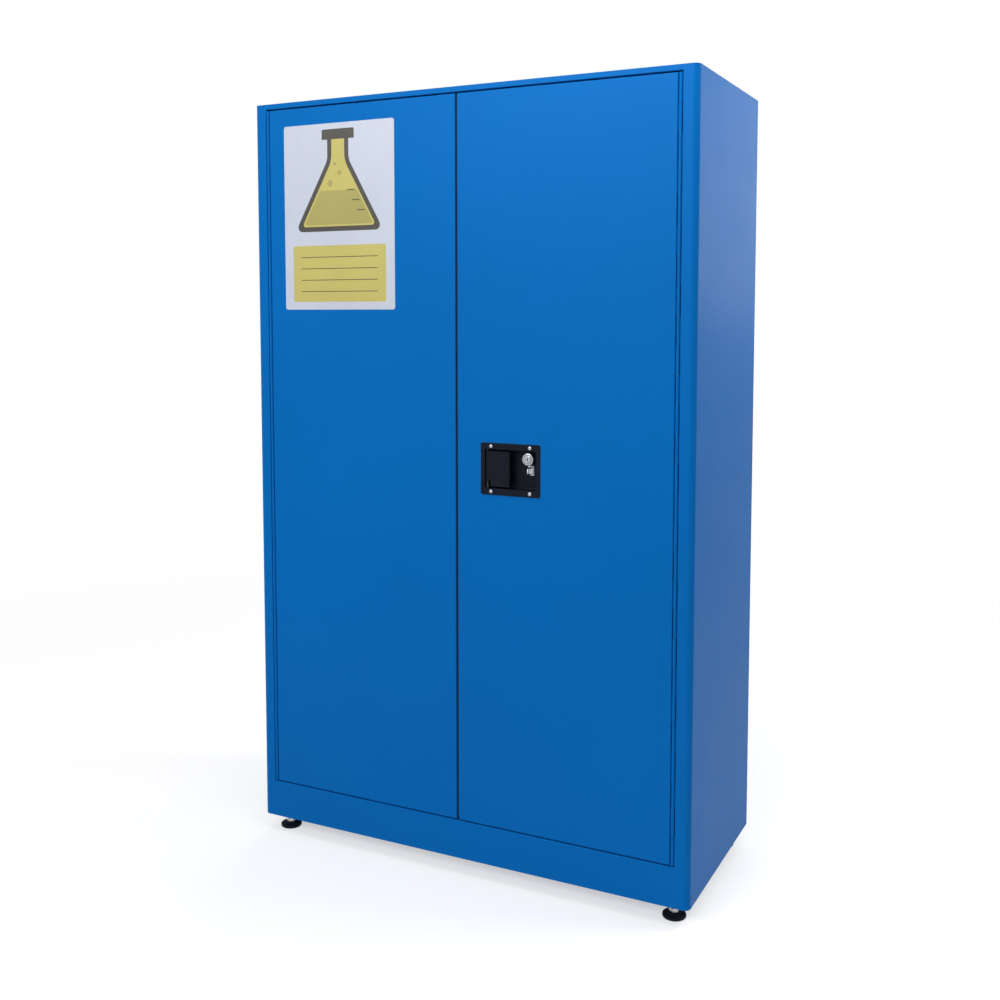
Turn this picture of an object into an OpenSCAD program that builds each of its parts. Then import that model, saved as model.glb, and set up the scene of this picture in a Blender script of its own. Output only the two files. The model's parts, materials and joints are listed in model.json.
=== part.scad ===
// Two-door storage cabinet for laboratory reagents: double-walled steel body on four levelling
// feet, inset doors on continuous hinges, a recessed paddle latch and a locking rod mechanism.
// Millimetres. +Z is up, +X is to the right seen from the front, and the front faces -Y.
// The origin is on the floor, below the middle of the overall box.

/* [Body] */
// Width of the steel body
cab_w = 1070; // [900:10:1300]
// Depth of the steel body
cab_d = 460; // [400:10:600]
// Height of the steel body, without the feet
cab_h = 1700; // [1500:10:1900]
// Thickness of the outer sheet
sheet = 1.2; // [0.8:0.1:2]
// Thickness of the lining sheet
liner_t = 1; // [0.8:0.1:1.5]
// Thickness of the double wall, from outer face to lining face
wall = 40; // [40:1:60]
// Outer bend radius of the two front corners
corner_r = 14; // [3:0.5:20]
// Width of the flange that carries the back panel
back_flange = 20; // [12:1:30]

/* [Front frame] */
// Width of the stile beside each door
stile_w = 32; // [32:1:60]
// Height of the rail above the doors
head_h = 12; // [12:1:20]
// Height of the sill below the doors
sill_h = 86; // [80:1:120]
// Reach of the landings past the door seals
landing_over = 2; // [1:0.5:8]

/* [Doors] */
// Thickness of each door
door_t = 42; // [42:1:50]
// Bend radius of each door's front edges
door_r = 2.5; // [2:0.5:4]
// Gap between door and stile, filled by the hinge
hinge_gap = 10; // [10:1:14]
// Gap between the two doors
meet_gap = 5; // [4:0.5:8]
// Gap above and below each door
end_gap = 3; // [2.5:0.5:5]
// Depth of the closed gap that the door seal fills
seal_t = 4; // [3:0.5:6]
// Width of the door seal
seal_w = 10; // [6:1:10]
// Distance of the door seal from the door's edges
seal_inset = 2; // [1:0.5:4]
// Distance of the meeting seal behind the front face
meet_seal_set = 6; // [4:1:10]
// Depth of the meeting seal, front to back
meet_seal_d = 6; // [4:1:8]

/* [Hinges] */
// Radius of the hinge pin
hinge_pin_r = 1.6; // [1.4:0.1:2]
// Outer radius of the hinge knuckles
knuckle_r = 3.5; // [3.2:0.1:4]
// Distance of the hinge pin behind the front face
hinge_set = 2.5; // [2.5:0.1:4]
// Thickness of each hinge leaf
leaf_t = 1.5; // [1:0.1:1.5]
// Reach of each hinge leaf behind the pin
leaf_w = 28; // [20:1:34]
// Number of knuckles on each hinge
knuckle_n = 27; // [15:2:41]
// End gap between neighbouring knuckles
knuckle_gap = 0.6; // [0.4:0.1:1]
// Number of rivets on each hinge leaf
rivet_n = 12; // [6:1:20]
// Shank radius of a rivet
rivet_r = 2; // [1.5:0.1:2.5]
// Radius of a rivet head
rivet_head_r = 3.4; // [3:0.1:4]
// Height of a rivet head
rivet_head_h = 0.9; // [0.6:0.1:1.2]

/* [Latch] */
// Reach of the latch flange beyond the dish, left and right
flange_side = 8; // [6:1:14]
// Reach of the latch flange beyond the dish, above and below
flange_end = 14; // [10:1:18]
// Thickness of the latch flange
flange_t = 2; // [1.5:0.1:3]
// Width of the recessed dish
dish_w = 124; // [116:1:128]
// Height of the recessed dish
dish_h = 84; // [80:1:96]
// Depth of the dish behind the door's front face
dish_d = 24; // [20:1:25]
// Wall thickness of the dish
dish_t = 1.5; // [1:0.1:2]
// Distance from the middle of the latch to the door's meeting edge
latch_x = 128; // [100:1:160]
// Height of the latch's middle above the underside of the body
latch_z = 883; // [700:1:1000]
// Distance between the latch screws, across
screw_dx = 92; // [80:1:110]
// Radius of the latch screws' shank
screw_r = 2; // [1.5:0.1:2.5]
// Radius of the latch screws' head
screw_head_r = 4; // [3.5:0.1:5]
// Height of the latch screws' head
screw_head_h = 1.2; // [1:0.1:2]
// Length of the latch screws behind the flange
screw_l = 10; // [6:1:12]
// Radius of the paddle's pin
paddle_pin_r = 2; // [1.5:0.1:2.5]
// Radius of the paddle's barrel
paddle_barrel_r = 4; // [3.6:0.1:4.4]
// Clearance of the paddle's barrel in the dish
barrel_gap = 0.5; // [0.4:0.1:2]
// Width of the paddle from its pin to its free edge
paddle_w = 54; // [44:1:56]
// Clearance above and below the paddle
paddle_gap = 2.5; // [1:0.5:6]
// Width of the grip ridge along the paddle's free edge
ridge_w = 6; // [4:1:10]
// Thickness of the paddle's plate
paddle_t = 5; // [4:0.5:6]
// Length of the lever tail behind the paddle's pin
tail_l = 26; // [20:1:27]
// Width of the lever tail, up and down
tail_h = 15; // [10:1:20]
// Opening angle that the tail's slot allows
paddle_angle = 40; // [20:5:45]
// Length of the paddle's torsion spring
spring_l = 14; // [8:1:24]
// Wire thickness of the torsion spring
spring_t = 1.4; // [1:0.1:1.6]

/* [Lock and rods] */
// Distance of the lock from the middle of the latch, across
lock_x = 39; // [34:1:44]
// Distance of the lock above the middle of the latch
lock_z = 24; // [16:1:26]
// Radius of the lock plug
plug_r = 8; // [6:0.5:9]
// Outer radius of the lock housing
housing_r = 13; // [12:0.5:14]
// Wall of the lock housing's neck, where it passes the dish
neck_t = 2; // [1.5:0.5:3]
// Distance of the lock housing behind the door's front face
housing_set = 3; // [2:0.5:8]
// Distance by which the plug stands out of its housing
plug_out = 1; // [0.5:0.5:2]
// Width of the keyway
key_w = 1.8; // [1.2:0.1:2.4]
// Height of the keyway
key_h = 8; // [6:0.5:9]
// Depth of the keyway
key_d = 6; // [3:0.5:12]
// Radius of the lock cam
cam_r = 13.5; // [12:0.5:15]
// Thickness of the lock cam
cam_t = 2.5; // [2:0.5:3]
// Radius of the drive pins on the cam
drive_pin_r = 2; // [1.5:0.1:2.5]
// Travel of the locking rods and bolts
rod_travel = 12; // [8:1:13]
// Radius of the locking rods and bolts
rod_r = 4; // [3:0.5:4]
// Distance of each locking rod from the lock's axis
rod_dx = 7; // [6:0.5:8]
// Distance of the rods' and bolts' tips inside the door's ends
tip_gap = 1; // [0.5:0.5:2]
// Play of a drive pin in its yoke
yoke_play = 0.6; // [0.5:0.1:1]
// Thickness of a yoke
yoke_t = 3; // [2:0.5:4]
// Height of the blocks that guide the rods and bolts
guide_h = 14; // [10:1:20]
// Length of the slide bolts in the left door
bolt_l = 160; // [140:5:220]
// Distance of the slide bolts from the left door's meeting edge
bolt_x = 30; // [20:1:60]
// Radius of the slide bolts' knobs
knob_r = 8; // [6:0.5:10]
// Thickness of the slide bolts' knobs
knob_t = 5; // [4:0.5:8]
// Gap between the slide bolts' knobs and the door's lining
knob_gap = 3; // [2:0.5:4]
// Thickness of the strike plates
strike_t = 1.5; // [1:0.1:2]
// Distance of the padlock staple below the middle of the latch
staple_z = 2; // [2:1:10]
// Distance between the legs of the padlock staple
staple_w = 13; // [12:1:18]
// Wire radius of the padlock staple
staple_r = 2.2; // [2:0.1:2.4]
// Width of the staple's base plate
staple_base_w = 14; // [10:1:20]
// Thickness of the staple's base plate
staple_base_t = 1.2; // [0.8:0.1:2]
// Reach of the base plate above and below the staple's legs
staple_rim = 1.5; // [1:0.1:1.6]

/* [Contents plate] */
// Width of the contents plate
plate_w = 297; // [200:1:320]
// Height of the contents plate
plate_h = 420; // [280:1:440]
// Thickness of the contents plate
plate_t = 0.8; // [0.5:0.1:1.5]
// Distance of the plate below the top of the body
plate_drop = 55; // [40:1:200]
// Distance of the plate from the left side of the body
plate_side = 84; // [70:1:140]
// Corner radius of the contents plate
plate_r = 6; // [2:1:12]

/* [Inside] */
// Depth of the spill sump
sump_h = 60; // [40:1:70]
// Height of the lip around each shelf
shelf_lip = 25; // [15:1:40]
// Distance of the shelves behind the landing
shelf_front = 30; // [25:1:60]
// Distance of the shelves in front of the back lining
shelf_back = 8; // [4:1:30]
// Clearance between the shelves and the uprights
shelf_gap = 1.5; // [1:0.5:4]
// Depth of each shelf upright
upright_t = 8; // [6:1:12]
// Sheet thickness of the uprights
upright_sheet = 1.5; // [1:0.1:2]
// Width of each shelf upright
upright_w = 26; // [20:1:40]
// Distance of the uprights from the front and back of the shelves
upright_in = 45; // [30:1:80]
// Distance between the slots of an upright
slot_pitch = 50; // [40:5:80]
// Width of the slots
slot_w = 5; // [4:0.5:7]
// Height of the slots
slot_h = 12; // [10:1:16]
// Length of a clip's ledge
clip_l = 14; // [10:1:20]
// Width of a clip
clip_w = 20; // [14:1:24]
// Thickness of a clip
clip_t = 2; // [1.5:0.5:3]

/* [Feet] */
// Height of the feet, floor to the underside of the body
foot_h = 40; // [36:1:60]
// Distance of the feet from the faces of the body
foot_in = 45; // [40:1:80]
// Radius of a foot's pad
pad_r = 25; // [18:1:32]
// Height of a foot's pad
pad_h = 12; // [10:1:16]
// Radius of a foot's stud
stud_r = 6; // [4:0.5:6]
// Height of the stud's end above the underside of the body
stud_up = 30; // [26:1:36]
// Radius of the nuts, over their corners
nut_r = 11; // [10:0.5:14]
// Height of the nuts
nut_h = 8; // [6:0.5:9]

/* [Hidden] */
$fn = 48;
eps = 0.01;              // overlap of a cutting shape past a face
fit = 0.05;              // radial clearance of a shaft in its bore
soft_gap = 0.3;          // gap that a soft seal leaves at rest
meet_seal_gap = 0.5;     // gap between the meeting seal and the right door
cut_gap = 0.5;           // clearance of a cutout or passing hole
hook_gap = 0.2;          // clearance of a clip's tongue in its slot
ridge_gap = 0.5;         // distance of the paddle's ridge behind the flange's face
paint = [0.10, 0.39, 0.69];
zinc = [0.72, 0.73, 0.75];
chrome = [0.80, 0.81, 0.83];
dark = [0.09, 0.10, 0.12];
steel = [0.62, 0.64, 0.66];
white = [0.88, 0.90, 0.93];

// Places that the pieces share
proud = flange_t + screw_head_h;
y_f = (proud - cab_d) / 2;
y_b = y_f + cab_d;
z_b = foot_h;
z_t = z_b + cab_h;
half_w = cab_w / 2;
open_w = half_w - stile_w;
landing_w = hinge_gap + seal_inset + seal_w + landing_over;
z_sill = z_b + sill_h;
z_head = z_t - head_h;
y_land = y_f + door_t + seal_t + sheet;
lin_x = half_w - wall;
lin_y = y_b - wall;
lin_z = z_t - wall;
landing_x = max(open_w + sheet, lin_x + liner_t);
door_x0 = meet_gap / 2;
door_x1 = open_w - hinge_gap;
door_z0 = z_sill + end_gap;
door_z1 = z_head - end_gap;
door_h = door_z1 - door_z0;
y_liner = y_f + door_t - liner_t;
pivot_x = open_w - hinge_gap / 2;
pivot_y = y_f + hinge_set;
knuckle_l = door_h / knuckle_n;
rivet_y = pivot_y + (knuckle_r + leaf_w) / 2;
hand_x = door_x0 + latch_x;
hand_z = z_b + latch_z;
flange_w = dish_w + 2 * flange_side;
flange_h = dish_h + 2 * flange_end;
screw_dz = dish_h + flange_end;
dish_z = dish_h / 2 - dish_t;
paddle_h = 2 * (dish_z - paddle_gap);
pad_pin_x = hand_x - dish_w / 2 + dish_t + barrel_gap + paddle_barrel_r;
pad_pin_y = y_f + paddle_barrel_r;
cam_x = hand_x + lock_x;
cam_z = hand_z + lock_z;
cam_y = y_f + dish_d + cam_t + cut_gap;
rod_y = cam_y + cam_t + cut_gap + rod_r;
drive_r = rod_travel / sqrt(2);
guide_w = 2 * rod_r + 12;
staple_base_h = staple_w + 2 * (staple_r + staple_rim);
neck_r = plug_r + neck_t;
tip_z0 = door_z0 + tip_gap;
tip_z1 = door_z1 - tip_gap;
bolt_cx = -(door_x0 + bolt_x);
strike_w = 2 * rod_r + 14;
z_sump1 = z_sill + landing_w;
z_sump0 = z_sump1 - sump_h;
shelf_x = lin_x - upright_t - shelf_gap;
shelf_y0 = y_land + shelf_front;
shelf_y1 = lin_y - shelf_back;
upright_z0 = z_sump1 + slot_h;
upright_z1 = lin_z - slot_h;
slot_n = floor((upright_z1 - upright_z0 - slot_pitch / 2) / slot_pitch);
shelf_n = 3;
foot_x = half_w - foot_in;

// ---------- shared shapes ----------

// A box between two corners
module box(a, b) {
    translate(a) cube(b - a);
}

// A piece made on the right, for the left when side is -1
module on_side(side) {
    if (side < 0) mirror([1, 0, 0]) children();
    else children();
}

// A cylinder along Y from y0 to y1
module bar_y(x, z, y0, y1, r) {
    translate([x, y0, z]) rotate([-90, 0, 0]) cylinder(h = y1 - y0, r = r);
}

// A cylinder along Z from z0 to z1
module bar_z(x, y, z0, z1, r, sides = 48) {
    translate([x, y, z0]) cylinder(h = z1 - z0, r = r, $fn = sides);
}

// Outline of a panel from above, with its two front corners rounded
module front_rounded(x0, x1, y0, y1, r) {
    translate([x0, y0 + r]) square([x1 - x0, y1 - y0 - r]);
    translate([x0 + r, y0]) square([x1 - x0 - 2 * r, 2 * r]);
    for (x = [x0 + r, x1 - r]) translate([x, y0 + r]) circle(r);
}

// A plate seen from the front with rounded corners, between y0 and y1
module front_plate(x, z, w, h, r, y0, y1) {
    translate([x, y1, z]) rotate([90, 0, 0]) linear_extrude(y1 - y0) {
        square([w, h - 2 * r], center = true);
        square([w - 2 * r, h], center = true);
        for (i = [-1, 1], j = [-1, 1]) translate([i * (w / 2 - r), j * (h / 2 - r)]) circle(r);
    }
}

// ---------- body ----------

// Folded side seen from above: side, rounded corner, stile and back flange
module side_section() {
    translate([half_w - sheet, y_f + corner_r]) square([sheet, y_b - sheet - y_f - corner_r]);
    translate([open_w, y_f]) square([half_w - corner_r - open_w, sheet]);
    translate([half_w - back_flange, y_b - 2 * sheet]) square([back_flange, sheet]);
    intersection() {
        translate([half_w - corner_r, y_f + corner_r]) difference() {
            circle(corner_r);
            circle(corner_r - sheet);
        }
        translate([half_w - corner_r, y_f]) square(corner_r);
    }
}

// Side with its jamb and landing, which stop above the foot's nut
module side_panel(side) {
    color(paint) on_side(side) {
        translate([0, 0, z_b + sheet]) linear_extrude(cab_h - 2 * sheet) side_section();
        box([open_w, y_f, z_sump0], [open_w + sheet, y_land, z_t - sheet]);
        box([open_w - landing_w, y_land - sheet, z_sump0], [landing_x, y_land, z_t - sheet]);
    }
}

module sheet_outline() {
    front_rounded(-half_w, half_w, y_f, y_b, corner_r);
}

// Top sheet with the rail above the doors, its return and the upper landing
module top_panel() {
    color(paint) difference() {
        union() {
            translate([0, 0, z_t - sheet]) linear_extrude(sheet) sheet_outline();
            box([-open_w, y_f, z_head], [open_w, y_f + sheet, z_t - sheet]);
            box([-open_w, y_f, z_head], [open_w, y_land - sheet, z_head + sheet]);
            box([landing_w - open_w, y_land - sheet, lin_z], [open_w - landing_w, y_land, z_t - sheet]);
        }
        for (x = [bolt_cx, cam_x + rod_dx])
            bar_z(x, rod_y, z_head - 1, z_head + sheet + 1, rod_r + cut_gap);
    }
}

module base_panel() {
    color(paint) difference() {
        translate([0, 0, z_b]) linear_extrude(sheet) sheet_outline();
        at_feet() bar_z(0, 0, z_b - 1, z_b + sheet + 1, stud_r + cut_gap);
    }
}

module back_panel() {
    color(paint) box([-half_w, y_b - sheet, z_b + sheet], [half_w, y_b, z_t - sheet]);
}

// Sill below the doors, its return and the lower landing
module front_sill() {
    color(paint) difference() {
        union() {
            box([-open_w, y_f, z_b + sheet], [open_w, y_f + sheet, z_sill]);
            box([-open_w, y_f, z_sill - sheet], [open_w, y_land - sheet, z_sill]);
            box([landing_w - open_w, y_land - sheet, z_sump0], [open_w - landing_w, y_land, z_sump1]);
        }
        for (x = [bolt_cx, cam_x - rod_dx])
            bar_z(x, rod_y, z_sill - sheet - 1, z_sill + 1, rod_r + cut_gap);
    }
}

module liner_side(side) {
    color(paint) on_side(side)
        box([lin_x, y_land, z_sump0], [lin_x + liner_t, lin_y + liner_t, z_t - sheet]);
}

module liner_back() {
    color(paint) box([-lin_x, lin_y, z_sump0], [lin_x, lin_y + liner_t, z_t - sheet]);
}

module liner_top() {
    color(paint) box([-lin_x, y_land, lin_z], [lin_x, lin_y, lin_z + liner_t]);
}

// Leakproof tray that forms the floor of the lowest bay
module sump_tray() {
    color(paint) difference() {
        box([-lin_x, y_land, z_sump0], [lin_x, lin_y, z_sump1]);
        box([liner_t - lin_x, y_land + liner_t, z_sump0 + liner_t],
            [lin_x - liner_t, lin_y - liner_t, z_sump1 + 1]);
    }
}

// ---------- shelves ----------

function slot_z(k) = upright_z0 + slot_pitch * (k + 0.5);
function shelf_slot(i) = round(i * slot_n / (shelf_n + 1));
function shelf_z(i) = slot_z(shelf_slot(i)) + slot_h;

// The four places of the uprights, as [side, y]
function upright_places() = [for (s = [-1, 1], y = [shelf_y0 + upright_in, shelf_y1 - upright_in]) [s, y]];

module shelf_uprights() {
    color(steel) for (p = upright_places()) on_side(p[0]) difference() {
        box([lin_x - upright_t, p[1] - upright_w / 2, upright_z0],
            [lin_x, p[1] + upright_w / 2, upright_z1]);
        box([lin_x - upright_t + upright_sheet, p[1] - upright_w / 2 + upright_sheet, upright_z0 - 1],
            [lin_x + 1, p[1] + upright_w / 2 - upright_sheet, upright_z1 + 1]);
        for (k = [0 : slot_n])
            box([lin_x - upright_t - 1, p[1] - slot_w / 2, slot_z(k) - slot_h / 2],
                [lin_x - upright_t + upright_sheet + 1, p[1] + slot_w / 2, slot_z(k) + slot_h / 2]);
    }
}

// Clip whose tongue hangs in a slot and whose ledge carries the shelf
module shelf_clip(y, k) {
    x1 = lin_x - upright_t;
    z1 = slot_z(k) + slot_h;
    box([x1 - clip_t, y - clip_w / 2, z1 - 2 * slot_h], [x1, y + clip_w / 2, z1]);
    box([x1 - clip_l, y - clip_w / 2, z1 - clip_t], [x1, y + clip_w / 2, z1]);
    box([x1 - clip_t, y - slot_w / 2 + hook_gap, slot_z(k) - slot_h / 2 + hook_gap],
        [x1 + 2 * upright_sheet, y + slot_w / 2 - hook_gap, slot_z(k) + slot_h / 2 - hook_gap]);
}

module shelf_clips() {
    color(zinc) for (p = upright_places(), i = [1 : shelf_n])
        on_side(p[0]) shelf_clip(p[1], shelf_slot(i));
}

// Lipped shelf number i, counted from the bottom
module shelf(i) {
    color(steel) difference() {
        box([-shelf_x, shelf_y0, shelf_z(i)], [shelf_x, shelf_y1, shelf_z(i) + shelf_lip]);
        box([sheet - shelf_x, shelf_y0 + sheet, shelf_z(i) + sheet],
            [shelf_x - sheet, shelf_y1 - sheet, shelf_z(i) + shelf_lip + 1]);
    }
}

// ---------- strikes and feet ----------

module strike_plates() {
    x0 = bolt_cx - strike_w;
    x1 = cam_x + rod_dx + strike_w;
    y0 = rod_y - strike_w / 2;
    y1 = rod_y + strike_w / 2;
    color(zinc) {
        difference() {
            box([x0, y0, z_head - strike_t], [x1, y1, z_head]);
            for (x = [bolt_cx, cam_x + rod_dx])
                bar_z(x, rod_y, z_head - strike_t - 1, z_head + 1, rod_r + cut_gap);
        }
        difference() {
            box([x0, y0, z_sill], [x1, y1, z_sill + strike_t]);
            for (x = [bolt_cx, cam_x - rod_dx])
                bar_z(x, rod_y, z_sill - 1, z_sill + strike_t + 1, rod_r + cut_gap);
        }
    }
}

module at_feet() {
    for (x = [-foot_x, foot_x], y = [y_f + foot_in, y_b - foot_in]) translate([x, y, 0]) children();
}

// Hexagon nut with a plain bore for the stud
module nut(z0) {
    difference() {
        bar_z(0, 0, z0, z0 + nut_h, nut_r, 6);
        bar_z(0, 0, z0 - 1, z0 + nut_h + 1, stud_r + fit);
    }
}

module foot_weld_nuts() {
    color(zinc) at_feet() nut(z_b + sheet);
}

module foot_lock_nuts() {
    color(zinc) at_feet() nut(z_b - nut_h);
}

// Pad of a foot: a flat round base that narrows towards the stud
module foot_pad(x, y) {
    edge = 2;
    color(dark) translate([x, y, 0]) difference() {
        rotate_extrude() polygon([[0, 0], [pad_r - edge, 0], [pad_r, edge], [pad_r, pad_h / 2],
            [nut_r + edge, pad_h], [0, pad_h]]);
        bar_z(0, 0, pad_h / 3, pad_h + 1, stud_r + fit);
    }
}

// Stud of a foot with its fixed hexagon collar
module foot_stud(x, y) {
    color(zinc) translate([x, y, 0]) {
        bar_z(0, 0, pad_h / 3, z_b + stud_up, stud_r);
        bar_z(0, 0, pad_h, pad_h + nut_h, nut_r, 6);
    }
}

// ---------- hinges ----------

// Places of the hinge knuckles that belong to a leaf, first is 0 for the frame and 1 for the door
module knuckles(first) {
    for (k = [first : 2 : knuckle_n - 1]) {
        z0 = door_z0 + k * knuckle_l + knuckle_gap / 2;
        z1 = z0 + knuckle_l - knuckle_gap;
        bar_z(0, 0, z0, z1, knuckle_r);
        box([0, 1, z0], [hinge_gap / 2, knuckle_r + leaf_t, z1]);
    }
}

// One leaf of a continuous hinge, drawn at the pin with the leaf on +X
module hinge_leaf(first) {
    difference() {
        union() {
            knuckles(first);
            box([hinge_gap / 2 - leaf_t, knuckle_r + cut_gap, door_z0], [hinge_gap / 2, leaf_w, door_z1]);
        }
        bar_z(0, 0, door_z0 - 1, door_z1 + 1, hinge_pin_r + fit);
        at_rivets() rotate([0, 90, 0])
            translate([0, 0, hinge_gap / 2 - leaf_t - 1]) cylinder(h = leaf_t + 2, r = rivet_r + fit);
    }
}

module at_rivets() {
    for (i = [0 : rivet_n - 1])
        translate([0, rivet_y - pivot_y, door_z0 + (i + 0.5) * door_h / rivet_n]) children();
}

// Rivets of one leaf, drawn at the pin with the leaf on +X
module leaf_rivets() {
    x0 = hinge_gap / 2 - leaf_t;
    at_rivets() rotate([0, 90, 0]) {
        translate([0, 0, x0 - rivet_head_h])
            cylinder(h = rivet_head_h, r1 = rivet_head_r - rivet_head_h, r2 = rivet_head_r);
        translate([0, 0, x0 - eps]) cylinder(h = leaf_t + eps, r = rivet_r);
    }
}

// Moves a shape drawn at the pin to one side's hinge
module at_hinge(side) {
    on_side(side) translate([pivot_x, pivot_y, 0]) children();
}

module hinge_frame_leaf(side) {
    color(zinc) at_hinge(side) hinge_leaf(0);
}

module hinge_door_leaf(side) {
    color(zinc) at_hinge(side) mirror([1, 0, 0]) hinge_leaf(1);
}

module hinge_pin(side) {
    color(steel) at_hinge(side) bar_z(0, 0, door_z0, door_z1, hinge_pin_r);
}

module hinge_rivets_frame() {
    color(steel) for (side = [-1, 1]) at_hinge(side) leaf_rivets();
}

module hinge_rivets_door(side) {
    color(steel) at_hinge(side) mirror([1, 0, 0]) leaf_rivets();
}

// ---------- doors ----------

// Outer skin of a door: front sheet and four folded edges, open at the back
module door_pan() {
    difference() {
        translate([0, 0, door_z0]) linear_extrude(door_h)
            front_rounded(door_x0, door_x1, y_f, y_f + door_t, door_r);
        translate([0, 0, door_z0 + sheet]) linear_extrude(door_h - 2 * sheet)
            front_rounded(door_x0 + sheet, door_x1 - sheet, y_f + sheet, y_f + door_t + 1,
                door_r - sheet);
    }
}

// Flat lining that closes the back of a door
module door_lining() {
    box([door_x0 + sheet, y_liner, door_z0 + sheet], [door_x1 - sheet, y_f + door_t, door_z1 - sheet]);
}

// Seal on three edges of a door's back, for the three landings
module door_seal() {
    x1 = door_x1 - seal_inset;
    z0 = door_z0 + seal_inset;
    z1 = door_z1 - seal_inset;
    y0 = y_f + door_t;
    y1 = y0 + seal_t - soft_gap;
    difference() {
        box([door_x0 + seal_inset, y0, z0], [x1, y1, z1]);
        box([door_x0, y0 - 1, z0 + seal_w], [x1 - seal_w, y1 + 1, z1 - seal_w]);
    }
}

// Slot in the left door's lining for a slide bolt's knob
module knob_slot(z, dir) {
    r = knob_r / 2 + cut_gap;
    z1 = z + dir * rod_travel;
    box([bolt_cx - r, y_liner - 1, min(z, z1) - r], [bolt_cx + r, y_f + door_t + 1, max(z, z1) + r]);
}

knob_z_top = tip_z1 - bolt_l + 2 * knob_r;
knob_z_bottom = tip_z0 + bolt_l - 2 * knob_r;

module door_left_skin() {
    color(paint) difference() {
        on_side(-1) door_pan();
        bar_z(bolt_cx, rod_y, door_z0 - 1, door_z0 + sheet + 1, rod_r + cut_gap);
        bar_z(bolt_cx, rod_y, door_z1 - sheet - 1, door_z1 + 1, rod_r + cut_gap);
    }
}

module door_left_liner() {
    color(paint) difference() {
        on_side(-1) door_lining();
        knob_slot(knob_z_top, 1);
        knob_slot(knob_z_bottom, -1);
    }
}

module door_gasket(side) {
    color(dark) on_side(side) door_seal();
}

// Seal on the left door's meeting edge, short of the right door by its gap
module meeting_seal() {
    y0 = y_f + meet_seal_set;
    color(dark) box([-door_x0, y0, door_z0 + end_gap],
        [door_x0 - meet_seal_gap, y0 + meet_seal_d, door_z1 - end_gap]);
}

module contents_plate() {
    x = -half_w + plate_side + plate_w / 2;
    z = z_t - plate_drop - plate_h / 2;
    color(white) front_plate(x, z, plate_w, plate_h, plate_r, y_f - plate_t, y_f);
}

module door_right_skin() {
    color(paint) difference() {
        door_pan();
        box([hand_x - dish_w / 2 - cut_gap, y_f - 1, hand_z - dish_h / 2 - cut_gap],
            [hand_x + dish_w / 2 + cut_gap, y_f + sheet + 1, hand_z + dish_h / 2 + cut_gap]);
        for (i = [-1, 1], j = [-1, 1])
            bar_y(hand_x + i * screw_dx / 2, hand_z + j * screw_dz / 2, y_f - 1, y_f + sheet + 1,
                screw_r + fit);
        bar_z(cam_x - rod_dx, rod_y, door_z0 - 1, door_z0 + sheet + 1, rod_r + cut_gap);
        bar_z(cam_x + rod_dx, rod_y, door_z1 - sheet - 1, door_z1 + 1, rod_r + cut_gap);
    }
}

module door_right_liner() {
    color(paint) door_lining();
}

// ---------- slide bolts of the left door ----------

// Guide block with a running bore, fixed to the door's lining
module guide(x, z) {
    difference() {
        box([x - guide_w / 2, rod_y - rod_r - 2, z - guide_h / 2],
            [x + guide_w / 2, y_liner, z + guide_h / 2]);
        bar_z(x, rod_y, z - guide_h, z + guide_h, rod_r + fit);
    }
}

module bolt_guides() {
    color(zinc) for (d = [2, 6]) {
        guide(bolt_cx, door_z1 - d * guide_h);
        guide(bolt_cx, door_z0 + d * guide_h);
    }
}

// Slide bolt from z0 to z1 with a round knob on a stem at height knob_z
module slide_bolt(z0, z1, knob_z) {
    knob_y = y_f + door_t + knob_gap;
    color(zinc) {
        bar_z(bolt_cx, rod_y, z0, z1, rod_r);
        bar_y(bolt_cx, knob_z, rod_y, knob_y + knob_t / 2, knob_r / 2);
        bar_y(bolt_cx, knob_z, knob_y, knob_y + knob_t, knob_r);
    }
}

module bolt_top() {
    slide_bolt(tip_z1 - bolt_l, tip_z1, knob_z_top);
}

module bolt_bottom() {
    slide_bolt(tip_z0, tip_z0 + bolt_l, knob_z_bottom);
}

// ---------- latch ----------

module latch_dish() {
    slot_x = tail_l * sin(paddle_angle);
    color(dark) difference() {
        union() {
            front_plate(hand_x, hand_z, flange_w, flange_h, flange_side / 2, y_f - flange_t, y_f);
            box([hand_x - dish_w / 2, y_f - flange_t / 2, hand_z - dish_h / 2],
                [hand_x + dish_w / 2, y_f + dish_d, hand_z + dish_h / 2]);
        }
        box([hand_x - dish_w / 2 + dish_t, y_f - flange_t - 1, hand_z - dish_h / 2 + dish_t],
            [hand_x + dish_w / 2 - dish_t, y_f + dish_d - dish_t, hand_z + dish_h / 2 - dish_t]);
        for (i = [-1, 1], j = [-1, 1])
            bar_y(hand_x + i * screw_dx / 2, hand_z + j * screw_dz / 2, y_f - flange_t - 1, y_f + 1,
                screw_r + fit);
        bar_z(pad_pin_x, pad_pin_y, hand_z - dish_h, hand_z + dish_h, paddle_pin_r + fit);
        bar_y(cam_x, cam_z, y_f, y_f + dish_d + 1, neck_r + fit);
        box([pad_pin_x - 2 * paddle_pin_r, y_f + dish_d - dish_t - 1, hand_z - tail_h / 2 - paddle_gap],
            [pad_pin_x + slot_x + 2 * paddle_pin_r, y_f + dish_d + 1, hand_z + tail_h / 2 + paddle_gap]);
    }
}

// Four screws with low round heads
module latch_screws() {
    color(chrome) for (i = [-1, 1], j = [-1, 1]) {
        x = hand_x + i * screw_dx / 2;
        z = hand_z + j * screw_dz / 2;
        bar_y(x, z, y_f - proud, y_f - flange_t, screw_head_r);
        bar_y(x, z, y_f - flange_t - eps, y_f - flange_t + screw_l, screw_r);
    }
}

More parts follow.
